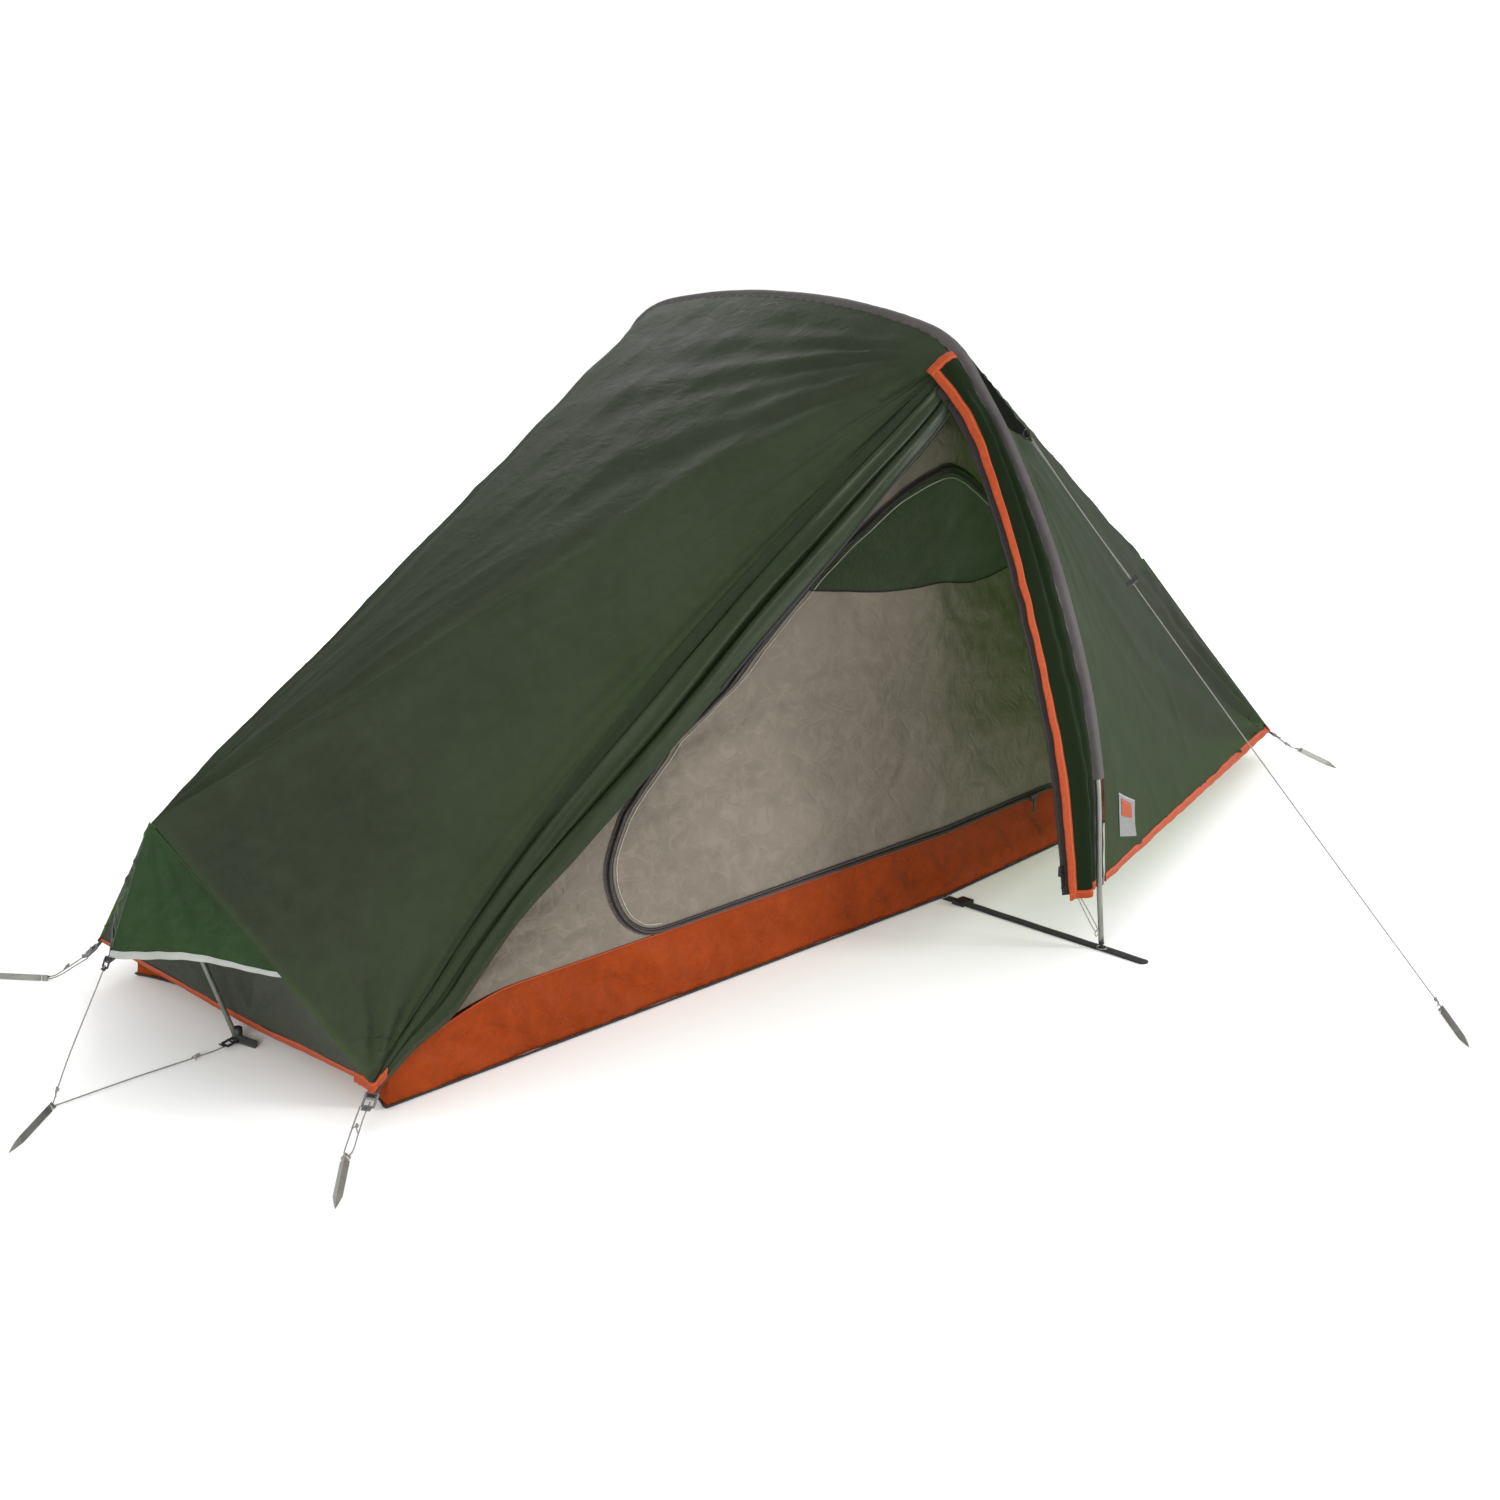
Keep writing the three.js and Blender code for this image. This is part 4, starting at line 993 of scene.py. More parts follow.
def make_fly_head():
    v = np.linspace(0, 1, ALONG)
    peak, near, far = peak_of(HEAD), corner_of(HEAD, -1), corner_of(HEAD, 1)
    rows, sag = [], []
    legs = {across: leg_edge(HEAD, across) for across in (-1, 1)}
    crown = crown_edge(HEAD)
    for a in np.linspace(0, 1, ROWS):
        rows.append(lerp(legs[-1](1 - a), lerp(near, peak, a), v))
        sag.append(dip(a, v, 0.012))
    for a in np.linspace(0, 1, ROWS)[1:]:
        rows.append(lerp(crown(a), peak, v))
        sag.append(-0.007 * np.sin(math.pi * v))
    for a in np.linspace(0, 1, ROWS)[1:]:
        rows.append(lerp(legs[1](a), lerp(peak, far, a), v))
        sag.append(dip(a, v, 0.012))
    points = np.array(rows)
    height = add_folds(np.array(sag), points, [
        (0.0110, near, (0, 1, 0.6), (-0.8, 0, 0.6), 16, 0.26, 10, 26, 0.05),
        (0.0045, far, (0, -1, 0.6), (-0.8, 0, 0.6), 17, 0.22),
        (0.0040, peak, (0, 1, 0), (-1, 0, 0.4), 18, 0.24, 10, 26),
        (0.0040, GUY_PULL, (0, -1, -1), (1, 0, 0), 19, 0.20),
    ])
    height = add_waves(height, *cloth_places(points), [
        (0.0012, ripples, 20, 0.07, 0.26, 1.4, 0.6),
        (0.0020, ridges, 21, 0.14, 0.38, 1.2, 0.8),
        (0.0006, ridges, 22, 0.05, 0.12, 0.9, 1.2),
    ])
    height = height * sewn_edges(v)
    nodes = ["fly_near_head_side", "fly_head_roof", "fly_far_head_side"]
    _, moved = finish_sheet("fly_head", points, height, M["fly_head"], nodes)
    corner_seam("near_head_seam", moved[:SEAM_ROWS], near)
    corner_seam("far_head_seam", moved[-SEAM_ROWS:], far)
    binding("fly_near_head_hem", moved[0], moved[4] - moved[0])
    binding("fly_far_head_hem", moved[-1], moved[-5] - moved[-1])
    make_head_patches(moved[:ROWS])


def on_sheet(points, rows, columns, lift):
    """Points lying on a grid of cloth, at fractional rows and columns."""
    r, c = np.floor(rows).astype(int), np.floor(columns).astype(int)
    r, c = np.minimum(r, points.shape[0] - 2), np.minimum(c, points.shape[1] - 2)
    a, b = (rows - r)[..., None], (columns - c)[..., None]
    low = points[r, c] * (1 - b) + points[r, c + 1] * b
    high = points[r + 1, c] * (1 - b) + points[r + 1, c + 1] * b
    return low * (1 - a) + high * a + normals_of(points)[r, c] * lift


def shares(rows, columns):
    """Each place of a grid as its shares of the way across and along."""
    return np.meshgrid(np.linspace(0, 1, rows), np.linspace(0, 1, columns), indexing="ij")


def patch(name, sheet, corners, material, lift=0.0012):
    """A piece of cloth sewn onto a sheet, its corners given as shares across and along the sheet."""
    a, b, c, d = (np.array(p) * np.array([ROWS - 1, ALONG - 1]) for p in corners)
    s, t = shares(40, 40)
    at = lerp(a, b, t) * (1 - s)[..., None] + lerp(d, c, t) * s[..., None]
    grid(name, on_sheet(sheet, at[..., 0], at[..., 1], lift), M[material])


def make_head_patches(sheet):
    """A near-black patch beside the shoulder, painted shade for the dark gap at the guy point, and a plain
    sewn label near the hem.
    """
    corners = [(0.995, 0.0), (0.85, 0.0), (0.920, 0.21), (0.940, 0.21)]
    # the near-black patch is painted shade for the dark gap where the guy pulls the fly out
    patch("guy_gap_shade", sheet, corners, "patch", 0.0026)
    corners = [(0.150, 0.075), (0.110, 0.165), (0.035, 0.155), (0.062, 0.072)]
    patch("label_base", sheet, corners, "label_grey")
    corners = [(0.135, 0.088), (0.107, 0.145), (0.078, 0.142), (0.100, 0.085)]
    patch("label_band", sheet, corners, "binding", 0.0020)


# ---- end walls and hoods ----
def between(a, b, rows):
    """Rows of points from line a across to line b, which may be a single point."""
    return np.array([lerp(a, b, np.full(len(a), share)) for share in np.linspace(0, 1, rows)])


def make_end(name, end):
    bottom = spot(end, "wall_bottom")
    inset = np.array([-end["side"] * 0.004, 0, 0])
    lower = Path([corner_of(end, -1) + inset, bottom, corner_of(end, 1) + inset], smooth=False).evenly(96)
    peak = peak_of(end) + np.array([-end["side"] * 0.008, 0, -0.006])
    points = between(lower, peak, 48)
    s, t = shares(48, 96)
    waves = ripples(points[..., 1], points[..., 2], 30 + end["side"], 0.07, 0.22)
    height = dip(s * 0.9, t, 0.016) + 0.0035 * waves
    height = height + 0.006 * fan_folds(points, bottom, (0, 1, 0), (0, 0, 1), 33, 0.16)
    height = height * smoothstep(1 - s, 0, 0.15) * smoothstep(np.minimum(t, 1 - t), 0, 0.06)
    height = height * (0.12 + 0.88 * smoothstep(s, 0, 0.16))
    _, moved = finish_sheet(f"{name}_wall", points, height, M["fly_end"], [f"{name}_end"])
    binding(f"{name}_end_hem", moved[0], moved[3] - moved[0])


def make_hood(name, end):
    cx, cy, cz = end["hood_corner"]
    tip = spot(end, "hood_tip")
    near, far = at_end(end, cx, -cy, cz), at_end(end, cx, cy, cz)
    out = end["side"] * 0.003
    mouth = Path([near, tip, far], smooth=False)
    t = np.linspace(0, 1, 97)
    edge = mouth(t)
    edge[:, 2] += 0.010 * np.sin(TAU * t) ** 2
    apex = peak_of(end) + np.array([out, 0, 0.002])
    points = between(edge, apex, 56)
    s, t = shares(56, 97)
    ridge = np.exp(-((t - 0.5) / 0.04) ** 2)
    height = -0.006 * np.sin(math.pi * s) * np.abs(np.sin(TAU * t))
    height = height + 0.0050 * fan_folds(points, tip, (0, 1, 0), (0.3, 0, 1), 41, 0.11, 14, 40)
    height = height + 0.0035 * fan_folds(points, apex, (0, 1, 0), (0, 0, -1), 42, 0.16, 12, 30)
    height = height + 0.0018 * ripples(points[..., 1], points[..., 2], 43, 0.03, 0.10)
    height = height * smoothstep(1 - s, 0, 0.15) * smoothstep(np.minimum(t, 1 - t), 0, 0.05)
    height = height * (1 - 0.9 * ridge)
    height = height * (0.25 + 0.75 * smoothstep(s, 0, 0.12))
    _, moved = finish_sheet(f"{name}_hood_sheet", points, height, M["fly_hood"], [f"{name}_hood"])
    inward = moved[4] - moved[0]
    binding(f"{name}_hood_trim", moved[0, :49], inward[:49], 0.009, "reflective")
    binding(f"{name}_hood_far_trim", moved[0, 48:], inward[48:], 0.008, "webbing")


# ---- the flap beside the hoop ----
FLAP_WIDTH = [(0, 0.062), (0.10, 0.050), (0.3, 0.066), (0.6, 0.082), (0.85, 0.074), (1, 0.060)]
FLAP_TOP = (0.366, 0.926)  # where the flap starts on the crown


def make_flap():
    y, z = FLAP_TOP
    leg = Path([at_end(FOOT, FLY_X, -y, z)] + [at_end(FOOT, FLY_X, -y, z) for y, z in reversed(LEG[1:])])
    t = np.linspace(0, 1, 120)
    sewn = leg(t)
    curve = Path(FLAP_WIDTH).points
    width = np.interp(t, curve[:, 0], curve[:, 1])
    tangent = unit(np.gradient(sewn, axis=0))
    outward = unit(np.cross(tangent, (1, 0, 0)))
    outward *= np.sign((outward * (sewn - np.array([0, 0, 0.3]))).sum(-1, keepdims=True))
    lie = unit(lerp(np.array([-0.93, 0, -0.34]), np.array([-1.0, 0, 0]), smoothstep(t, 0, 0.2)))
    rows = []
    for q in np.linspace(0, 1, 26):
        bulge = 0.003 + 0.012 * np.sin(math.pi * q) * (1 + 0.3 * np.sin(TAU * 1.5 * t)) - 0.004 * q
        fold = 0.009 * np.sin(TAU * (1.7 * q + 0.3 * t)) * np.sin(math.pi * q)
        fold = fold * (0.05 + 0.95 * smoothstep(t, 0, 0.3))
        point = sewn + lie * (width * q)[:, None] + outward * (bulge + fold)[:, None]
        point[:, 2] -= 0.008 * q * t
        rows.append(point)
    points = np.array(rows)
    run = np.linalg.norm(points - points[:, :1], axis=-1)
    height = 0.0012 * ripples(run, np.linspace(0, width.mean(), 26)[:, None], 51, 0.03, 0.12)
    height = height * smoothstep(t, 0.02, 0.08)
    _, moved = finish_sheet("fly_flap", points, height, M["flap"], ["fly_door_flap"])
    free = moved[-1]
    binding("flap_binding", free, moved[-4] - free, 0.014)
    binding("flap_top_binding", moved[:, 0], moved[:, 3] - moved[:, 0], 0.014, lift=0.0024)
    binding("flap_hem", moved[:, -1], moved[:, -4] - moved[:, -1])
    q = np.linspace(0, 1, 5)[:, None, None]
    strip = free[4:-1] - outward[4:-1] * (0.003 + 0.008 * q) + np.array([0.008, 0, 0]) * (1 - 1.2 * q)
    grid("fly_zip_tape", strip, M["zip_tape"])
    tube("fly_zip_coil", strip[-1] - outward[4:-1] * 0.0015, 0.0020, M["coil"])


# ---- sleeve and pole ----
HALF_HOOP = LEG + CROWN[1:]
HOOP = Path([(0, -y, z) for y, z in HALF_HOOP] + [(0, y, z) for y, z in reversed(HALF_HOOP[:-1])])


def hoop_stretch(start, end, count):
    """Points, outward directions and arc lengths along the hoop between two arc lengths."""
    s = np.linspace(start, end, count)
    line = HOOP(s / HOOP.length)
    tangent = unit(np.gradient(line, axis=0))
    return line, np.cross((1, 0, 0), tangent), s


def make_sleeve():
    line, outward, s = hoop_stretch(SLEEVE_END, HOOP.length - SLEEVE_END, 420)
    outward *= np.sign((outward[len(outward) // 2] @ np.array([0, 0, 1])))
    pucker = 0.5 + 0.5 * ripples(s, s * 0, 61, 0.018, 0.05, 0, 0.3)
    slack = 0.5 + 0.5 * ripples(s, s * 0, 62, 0.08, 0.22, 0, 0.3)
    rows = []
    for angle in np.linspace(0, TAU, 57):
        c, n = math.cos(angle), math.sin(angle)
        crease = 0.0009 * np.sin(TAU * s / 0.021 + 3 * angle) * abs(c) ** 3
        over = max(0.0, 1 - (abs(c) / 0.66) ** 3) ** 0.6
        depth = (SLEEVE_DEPTH * (0.92 + 0.10 * slack + 0.12 * pucker * abs(c)) - 0.0014) * over + 0.0014
        side = c * SLEEVE_X * (1.06 + 0.04 * slack)
        point = line + np.array([1, 0, 0]) * (side + crease)[:, None]
        rows.append(point + outward * (math.copysign(1, n) * min(1, abs(n) * 4) * depth + crease)[:, None])
    points = np.array(rows)
    piece = grid("pole_sleeve_cloth", points, M["sleeve"], weld=True)
    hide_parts("pole_sleeve")
    declare(points, layers=2)
    for across, name in ((-1, "near"), (1, "far")):
        make_sleeve_tail(name, across)


def make_sleeve_tail(name, across):
    """Below the sleeve's mouth its inner layer runs on down to the hem, behind the bare pole."""
    low, high = 0.104, SLEEVE_END + 0.02
    start, end = (low, high) if across < 0 else (HOOP.length - low, HOOP.length - high)
    line, outward, s = hoop_stretch(start, end, 60)
    outward *= np.sign((outward * np.array([0, across, 0])).sum(-1, keepdims=True))
    rows = []
    for q in np.linspace(-1, 1, 15):
        back = 0.0075 - 0.0050 * q * q + 0.0007 * np.sin(TAU * s / 0.05 + 2 * q)
        rows.append(line + np.array([1, 0, 0]) * (0.0155 * q) - outward * back[:, None])
    points = np.array(rows)
    piece = grid(f"sleeve_tail_{name}", points, M["sleeve"])
    declare(points)
    binding(f"sleeve_tail_hem_{name}", points[:, 0], points[:, 4] - points[:, 0], 0.012, "strap")


def make_pole():
    """The hoop's two lowest sections, which show below the sleeve."""
    each = (HOOP.length - 2 * POLE_TIP) / 4
    for number in (1, 4):
        start = POLE_TIP + each * (number - 1) + (JOINT_GAP if number > 1 else 0)
        line, _, _ = hoop_stretch(start, POLE_TIP + each * number, 80)
        piece = tube(f"pole_lower_{number}", line, POLE_RADIUS, M["pole"], sides=24)
        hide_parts(f"pole_section_{number}")


# ---- the inner tent ----
def from_hoop(x):
    """Distance from the hoop's plane, eased so that the cloth turns softly there."""
    return np.sqrt(x * x + 0.03**2) - 0.03 * np.exp(-np.abs(x) / 0.4) * 0.6


def rim_height(x):
    """The tub's height, which falls toward its corners so that they stay under the fly."""
    share = np.abs(x) / end_values(np.asarray(x, float), "tub")[0]
    return TUB_TOP * (1 - 0.38 * smoothstep(share, 0.80, 1))


def end_values(x, key):
    """Both values of a key, from the end that each x lies toward."""
    return np.where(x < 0, FOOT[key][0], HEAD[key][0]), np.where(x < 0, FOOT[key][1], HEAD[key][1])


def inner_wall(across, x, rise):
    """A point of a long wall: x along the tent, rise from 0 at the tub to 1 at the ridge crease."""
    x, rise = np.broadcast_arrays(np.asarray(x, float), np.asarray(rise, float))
    tub_x, tub_y = end_values(x, "tub")
    peak_x, peak_z = end_values(x, "inner")
    base_y = TUB_HALF - 0.002 - (TUB_HALF - tub_y) * np.abs(x) / tub_x
    share = np.minimum(from_hoop(x) / peak_x, 1)
    crease_y = INNER_CROWN[0][0] * (1 - share)
    crease_z = SHOULDER_Z + (peak_z - SHOULDER_Z) * share
    base_y = base_y - 0.014 * smoothstep(np.abs(x) / tub_x, 0.8, 1)
    y = across * (base_y + (crease_y - base_y) * rise)
    base_z = rim_height(x) + FOOTING - TUB_TOP
    return np.stack([x, y, base_z + (crease_z - base_z) * rise], -1)


def inner_slack(x, rise, across):
    """How far the light inner cloth stands in from its ruled surface, with its wrinkles."""
    seed = 70 if across < 0 else 80
    z = rise * WALL
    hang = 0.012 * np.sin(math.pi * np.clip(rise, 0, 1)) * np.sin(math.pi * np.clip((x + 1.15) / 2.2, 0, 1))
    folds = 0.0040 * ripples(x, z, seed, 0.10, 0.34, 1.9, 0.6)
    folds = folds + 0.0050 * ridges(x, z, seed + 1, 0.14, 0.36, 1.8, 0.8)
    fine = 0.0010 * ripples(x, z, seed + 2, 0.025, 0.07, 1.6, 0.9)
    fine = fine + 0.0012 * ridges(x, z, seed + 3, 0.05, 0.12, 1.2, 1.2)
    # the cloth lies flatter round the zip's lower foot corner
    calm = 1 - 0.85 * np.exp(-(((x + 0.70) / 0.10) ** 2 + ((z - 0.14) / 0.16) ** 2))
    return (hang + (folds + fine) * calm) * smoothstep(rise, 0, 0.06) * smoothstep(1 - rise, 0, 0.03)


def slack_wall(across, x, rise):
    points = inner_wall(across, x, rise)
    fade = smoothstep(np.minimum(x + FOOT["wall_end"], HEAD["wall_end"] - x), 0, 0.1)
    points[..., 1] -= across * inner_slack(x, rise, across) * fade
    return points


# the doorway's closed outline on the near wall, laid flat: x, and metres up the wall
DOORWAY = Path([(x, rise * WALL) for x, rise in DOORWAY_FOOT + DOORWAY_HEAD]).evenly(260)


def near_wall(flat):
    """Points of the near wall at places given as x and metres up it."""
    return slack_wall(-1, flat[:, 0], flat[:, 1] / WALL)


def net_line(x):
    """The rise of the lower edge of the door's net."""
    t = np.clip((x - NET["from"]) / (NET["to"] - NET["from"]), 0, 1)
    return NET["rise"] - NET["dip"] * np.sin(math.pi * t)


def inside(outline, x, y):
    """Which points lie inside a closed outline."""
    hit = np.zeros(x.shape, bool)
    for (ax, ay), (bx, by) in zip(outline, np.roll(outline, -1, axis=0)):
        if ay == by:
            continue
        crosses = (ay > y) != (by > y)
        hit ^= crosses & (x < (bx - ax) * (y - ay) / (by - ay) + ax)
    return hit


def nearest_on(outline, points):
    """The nearest point of a closed outline to each point."""
    a, b = outline, np.roll(outline, -1, axis=0)
    edge = b - a
    length = np.maximum((edge**2).sum(1), 1e-12)
    t = np.clip(((points[:, None] - a) * edge).sum(-1) / length, 0, 1)
    on = a + edge * t[..., None]
    best = ((points[:, None] - on) ** 2).sum(-1).argmin(1)
    return on[np.arange(len(points)), best]


def cut_grid(x, rise, keep):
    """The wall's grid laid flat, and those of its faces that are kept.

    keep is a function of face centres, and returns which are kept and the outline to move their border to.
    """
    faces = grid_faces(*x.shape)
    flat = np.stack([x.ravel(), rise.ravel() * WALL], -1)
    kept, outline = keep(flat[faces].mean(1))
    uses_kept, uses_cut = np.zeros(len(flat), bool), np.zeros(len(flat), bool)
    uses_kept[faces[kept].ravel()] = True
    uses_cut[faces[~kept].ravel()] = True
    border = uses_kept & uses_cut
    flat[border] = nearest_on(outline, flat[border])
    return flat, faces[kept]


def compact(vertices, uv, faces):
    """The same mesh without the vertices that no face uses."""
    used = np.unique(faces)
    index = np.full(len(vertices), -1)
    index[used] = np.arange(len(used))
    return vertices[used], uv[used], index[faces]


WALL_STEP = 0.0085


def wall_grid():
    """x and rise over the long walls, about a step apart."""
    columns = int(round(WALL / WALL_STEP))
    count = int(round((FOOT["wall_end"] + HEAD["wall_end"]) / WALL_STEP))
    return np.meshgrid(np.linspace(-FOOT["wall_end"], HEAD["wall_end"], count), np.linspace(0, 1, columns),
                       indexing="ij")


def round_doorway(centre):
    return ~inside(DOORWAY, *centre.T), DOORWAY


def make_inner():
    """Near wall with its doorway, roof, far wall and both ends, sewn into one skin."""
    x, rise = wall_grid()
    flat, faces = cut_grid(x, rise, round_doorway)
    vertices, uvs, all_faces = [near_wall(flat)], [flat], [faces]
    xs = x[:, 0]
    far_rise = np.linspace(1, 0, 40)
    far = slack_wall(1, *np.meshgrid(xs, far_rise, indexing="ij"))
    for block in (inner_roof(xs), far, *inner_end(FOOT, far_rise), *inner_end(HEAD, far_rise)):
        offset = sum(len(v) for v in vertices)
        all_faces.append(grid_faces(block.shape[0], block.shape[1], offset))
        uvs.append(grid_uv(block).reshape(-1, 2))
        vertices.append(block.reshape(-1, 3))
    points, uv, faces = compact(np.vstack(vertices), np.vstack(uvs), np.vstack(all_faces))
    piece = build("inner_canopy", points, faces, uv, M["inner"], weld=True)
    work = bmesh.new()
    work.from_mesh(piece.data)
    bmesh.ops.remove_doubles(work, verts=work.verts, dist=0.0006)
    bmesh.ops.recalc_face_normals(work, faces=work.faces)
    work.to_mesh(piece.data)
    area = sum(face.calc_area() for face in work.faces)
    work.free()
    settle(piece, TENT)
    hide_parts("inner_near_foot_wall", "inner_near_head_wall", "inner_far_foot_wall",
                "inner_far_head_wall", "inner_foot_roof", "inner_head_roof", "inner_foot_end",
                "inner_head_end")


def inner_roof(xs):
    near = [(-y, z) for y, z in INNER_CROWN]
    crown = Path(near + [(y, z) for y, z in reversed(INNER_CROWN[:-1])]).evenly(48)
    peak_x, peak_z = end_values(xs, "inner")
    share = np.minimum(from_hoop(xs) / peak_x, 1)
    y = crown[None, :, 0] * (1 - share[:, None])
    z = crown[None, :, 1] + (peak_z[:, None] - crown[None, :, 1]) * share[:, None]
    points = np.stack([np.broadcast_to(xs[:, None], y.shape), y, z], -1)
    k = np.linspace(0, 1, 48)
    points[..., 2] -= 0.010 * np.sin(math.pi * k) * np.abs(np.sin(math.pi * share))[:, None]
    return points


def inner_end(end, rises):
    """From the last upright rows to the sloping end edges, and the end wall between them."""
    last, top = end["side"] * end["wall_end"], spot(end, "inner")
    tub_x, tub_y = end["tub"]
    low = rim_height(end["side"] * tub_x) + 0.004
    feet = [at_end(end, tub_x - 0.012, across * (tub_y - 0.016), low) for across in (-1, 1)]
    edges = [lerp(foot, top, rises) for foot in feet]
    uprights = [inner_wall(across, np.full(len(rises), last), rises) for across in (-1, 1)]
    blocks = [between(upright, edge, 8) for upright, edge in zip(uprights, edges)]
    return blocks + [between(*edges, 30), between(inner_roof(np.array([last]))[0], top, 8)]


def hang_on_hinge(piece):
    """The door's cloth, with its placing baked into its points."""
    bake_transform(piece)


def door_part(name, keep, material, replaces):
    flat, faces = cut_grid(*wall_grid(), keep)
    points, uv, faces = compact(near_wall(flat), flat, faces)
    piece = build(name, points, faces, uv, M[material], weld=True)
    hang_on_hinge(piece)
    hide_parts(replaces)


def make_inner_door():
    """The door's cloth below and its net above, with the seam between them and a row of stitches."""
    x = np.linspace(NET["from"], NET["to"], 60)
    edge = np.stack([x, net_line(x) * WALL], -1)
    foot, head = (DOORWAY[np.argmin(np.linalg.norm(DOORWAY - end, axis=1))] for end in (edge[0], edge[-1]))
    line = np.vstack([foot, edge, head])
    below = np.vstack([line, [[2, line[-1][1]], [2, -1], [-2, -1], [-2, line[0][1]]]])
    both = np.vstack([dense(DOORWAY), dense(line, close=False)])

    def cloth_part(centre):
        return inside(DOORWAY, *centre.T) & inside(below, *centre.T), both

    def net_part(centre):
        return inside(DOORWAY, *centre.T) & ~inside(below, *centre.T), both

    door_part("door_cloth", cloth_part, "inner", "inner_door")
    door_part("door_net", net_part, "net", "inner_door_mesh")
    seam = near_wall(line) + np.array([0, -0.0012, 0])
    hang_on_hinge(tube("net_seam", seam, 0.0012, M["zip_tape"], ride=None))
    inset = shrink(DOORWAY, 0.016)
    stitched = near_wall(inset[inset[:, 0] < HINGE_X - 0.05]) + np.array([0, -0.0010, 0])
    tube("door_topstitch", stitched, 0.0008, M["thread"], sides=6, ride="inner_door")


OUTLINE_STEP = 0.003


def dense(outline, close=True):
    """The same outline with points closer together."""
    ends = np.roll(outline, -1, axis=0) if close else outline[1:]
    out = []
    for a, b in zip(outline, ends):
        count = max(1, int(np.linalg.norm(b - a) / OUTLINE_STEP))
        out.append(a + (b - a) * np.linspace(0, 1, count, endpoint=False)[:, None])
    return np.vstack(out + ([] if close else [outline[-1:]]))


def shrink(outline, by):
    """An outline drawn in by a distance."""
    tangent = unit(np.roll(outline, -1, axis=0) - np.roll(outline, 1, axis=0))
    normal = np.stack([tangent[:, 1], -tangent[:, 0]], -1)
    middle = outline.mean(0)
    toward = np.sign(((middle - outline) * normal).sum(1, keepdims=True))
    return outline + normal * toward * by


def make_inner_zip():
    """Zip tape and coil round the doorway, from the hinge along the tub and up over the D."""
    base = np.linspace(HINGE_X - 0.012, DOORWAY_FOOT[0][0] + 0.01, 120)
    bottom = np.stack([base, np.full(120, 0.006 * WALL)], -1)
    x, rise = DOORWAY[:, 0], DOORWAY[:, 1] / WALL
    upper = DOORWAY[(rise > 0.008) & ~((x > HINGE_X - 0.015) & (rise < 0.62))]
    route = Path(np.vstack([bottom, upper])).evenly(420)
    even = np.ones(9) / 9
    route = np.stack([np.convolve(np.pad(axis, 4, mode="edge"), even, "valid") for axis in route.T], -1)
    tangent = unit(np.gradient(route, axis=0))
    side = np.stack([-tangent[:, 1], tangent[:, 0]], -1)
    rows = []
    for q in np.linspace(-1, 1, 9):
        flat = route + side * q * 0.008
        point = slack_wall(-1, flat[:, 0], np.maximum(flat[:, 1] / WALL, -0.012))
        point[:, 1] -= 0.0022 + 0.0012 * (1 - q * q)
        rows.append(point)
    points = np.array(rows)
    grid("inner_zip_tape", points, M["zip_tape"])
    middle = points[4, 4:] + np.array([0, -0.0014, 0])
    coil = tube("inner_zip_coil", middle, 0.0023, M["coil"])
    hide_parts("inner_door_zip")


# ---- the bathtub floor ----
def tub_corner_path():
    """The tub's outline at the ground, with its corners rounded."""
    (foot_x, foot_y), (head_x, head_y) = FOOT["tub"], HEAD["tub"]
    corners = np.array([
        (-foot_x, -foot_y), (0, -TUB_HALF), (head_x, -head_y),
        (head_x, head_y), (0, TUB_HALF), (-foot_x, foot_y),
    ])
    rounded = []
    for before, corner, after in zip(np.roll(corners, 1, axis=0), corners, np.roll(corners, -1, axis=0)):
        a, b = (corner + unit(other - corner) * TUB_ROUNDING for other in (before, after))
        for t in np.linspace(0, 1, 6):
            rounded.append((1 - t) ** 2 * a + 2 * t * (1 - t) * corner + t * t * b)
    rounded.append(rounded[0])
    return Path([(x, y, 0) for x, y in rounded], smooth=False)


def end_tuck(base):
    """How far the ends of the tub stand in behind the end walls, most at their middle."""
    depth = 0.050 * np.clip(1 - (base[:, 1] / FOOT["tub"][1]) ** 2, 0, 1) ** 0.7
    return np.where(base[:, 0] < -1.13, depth, 0) - np.where(base[:, 0] > 1.02, depth * 0.8, 0)


TUB_POINTS = 620


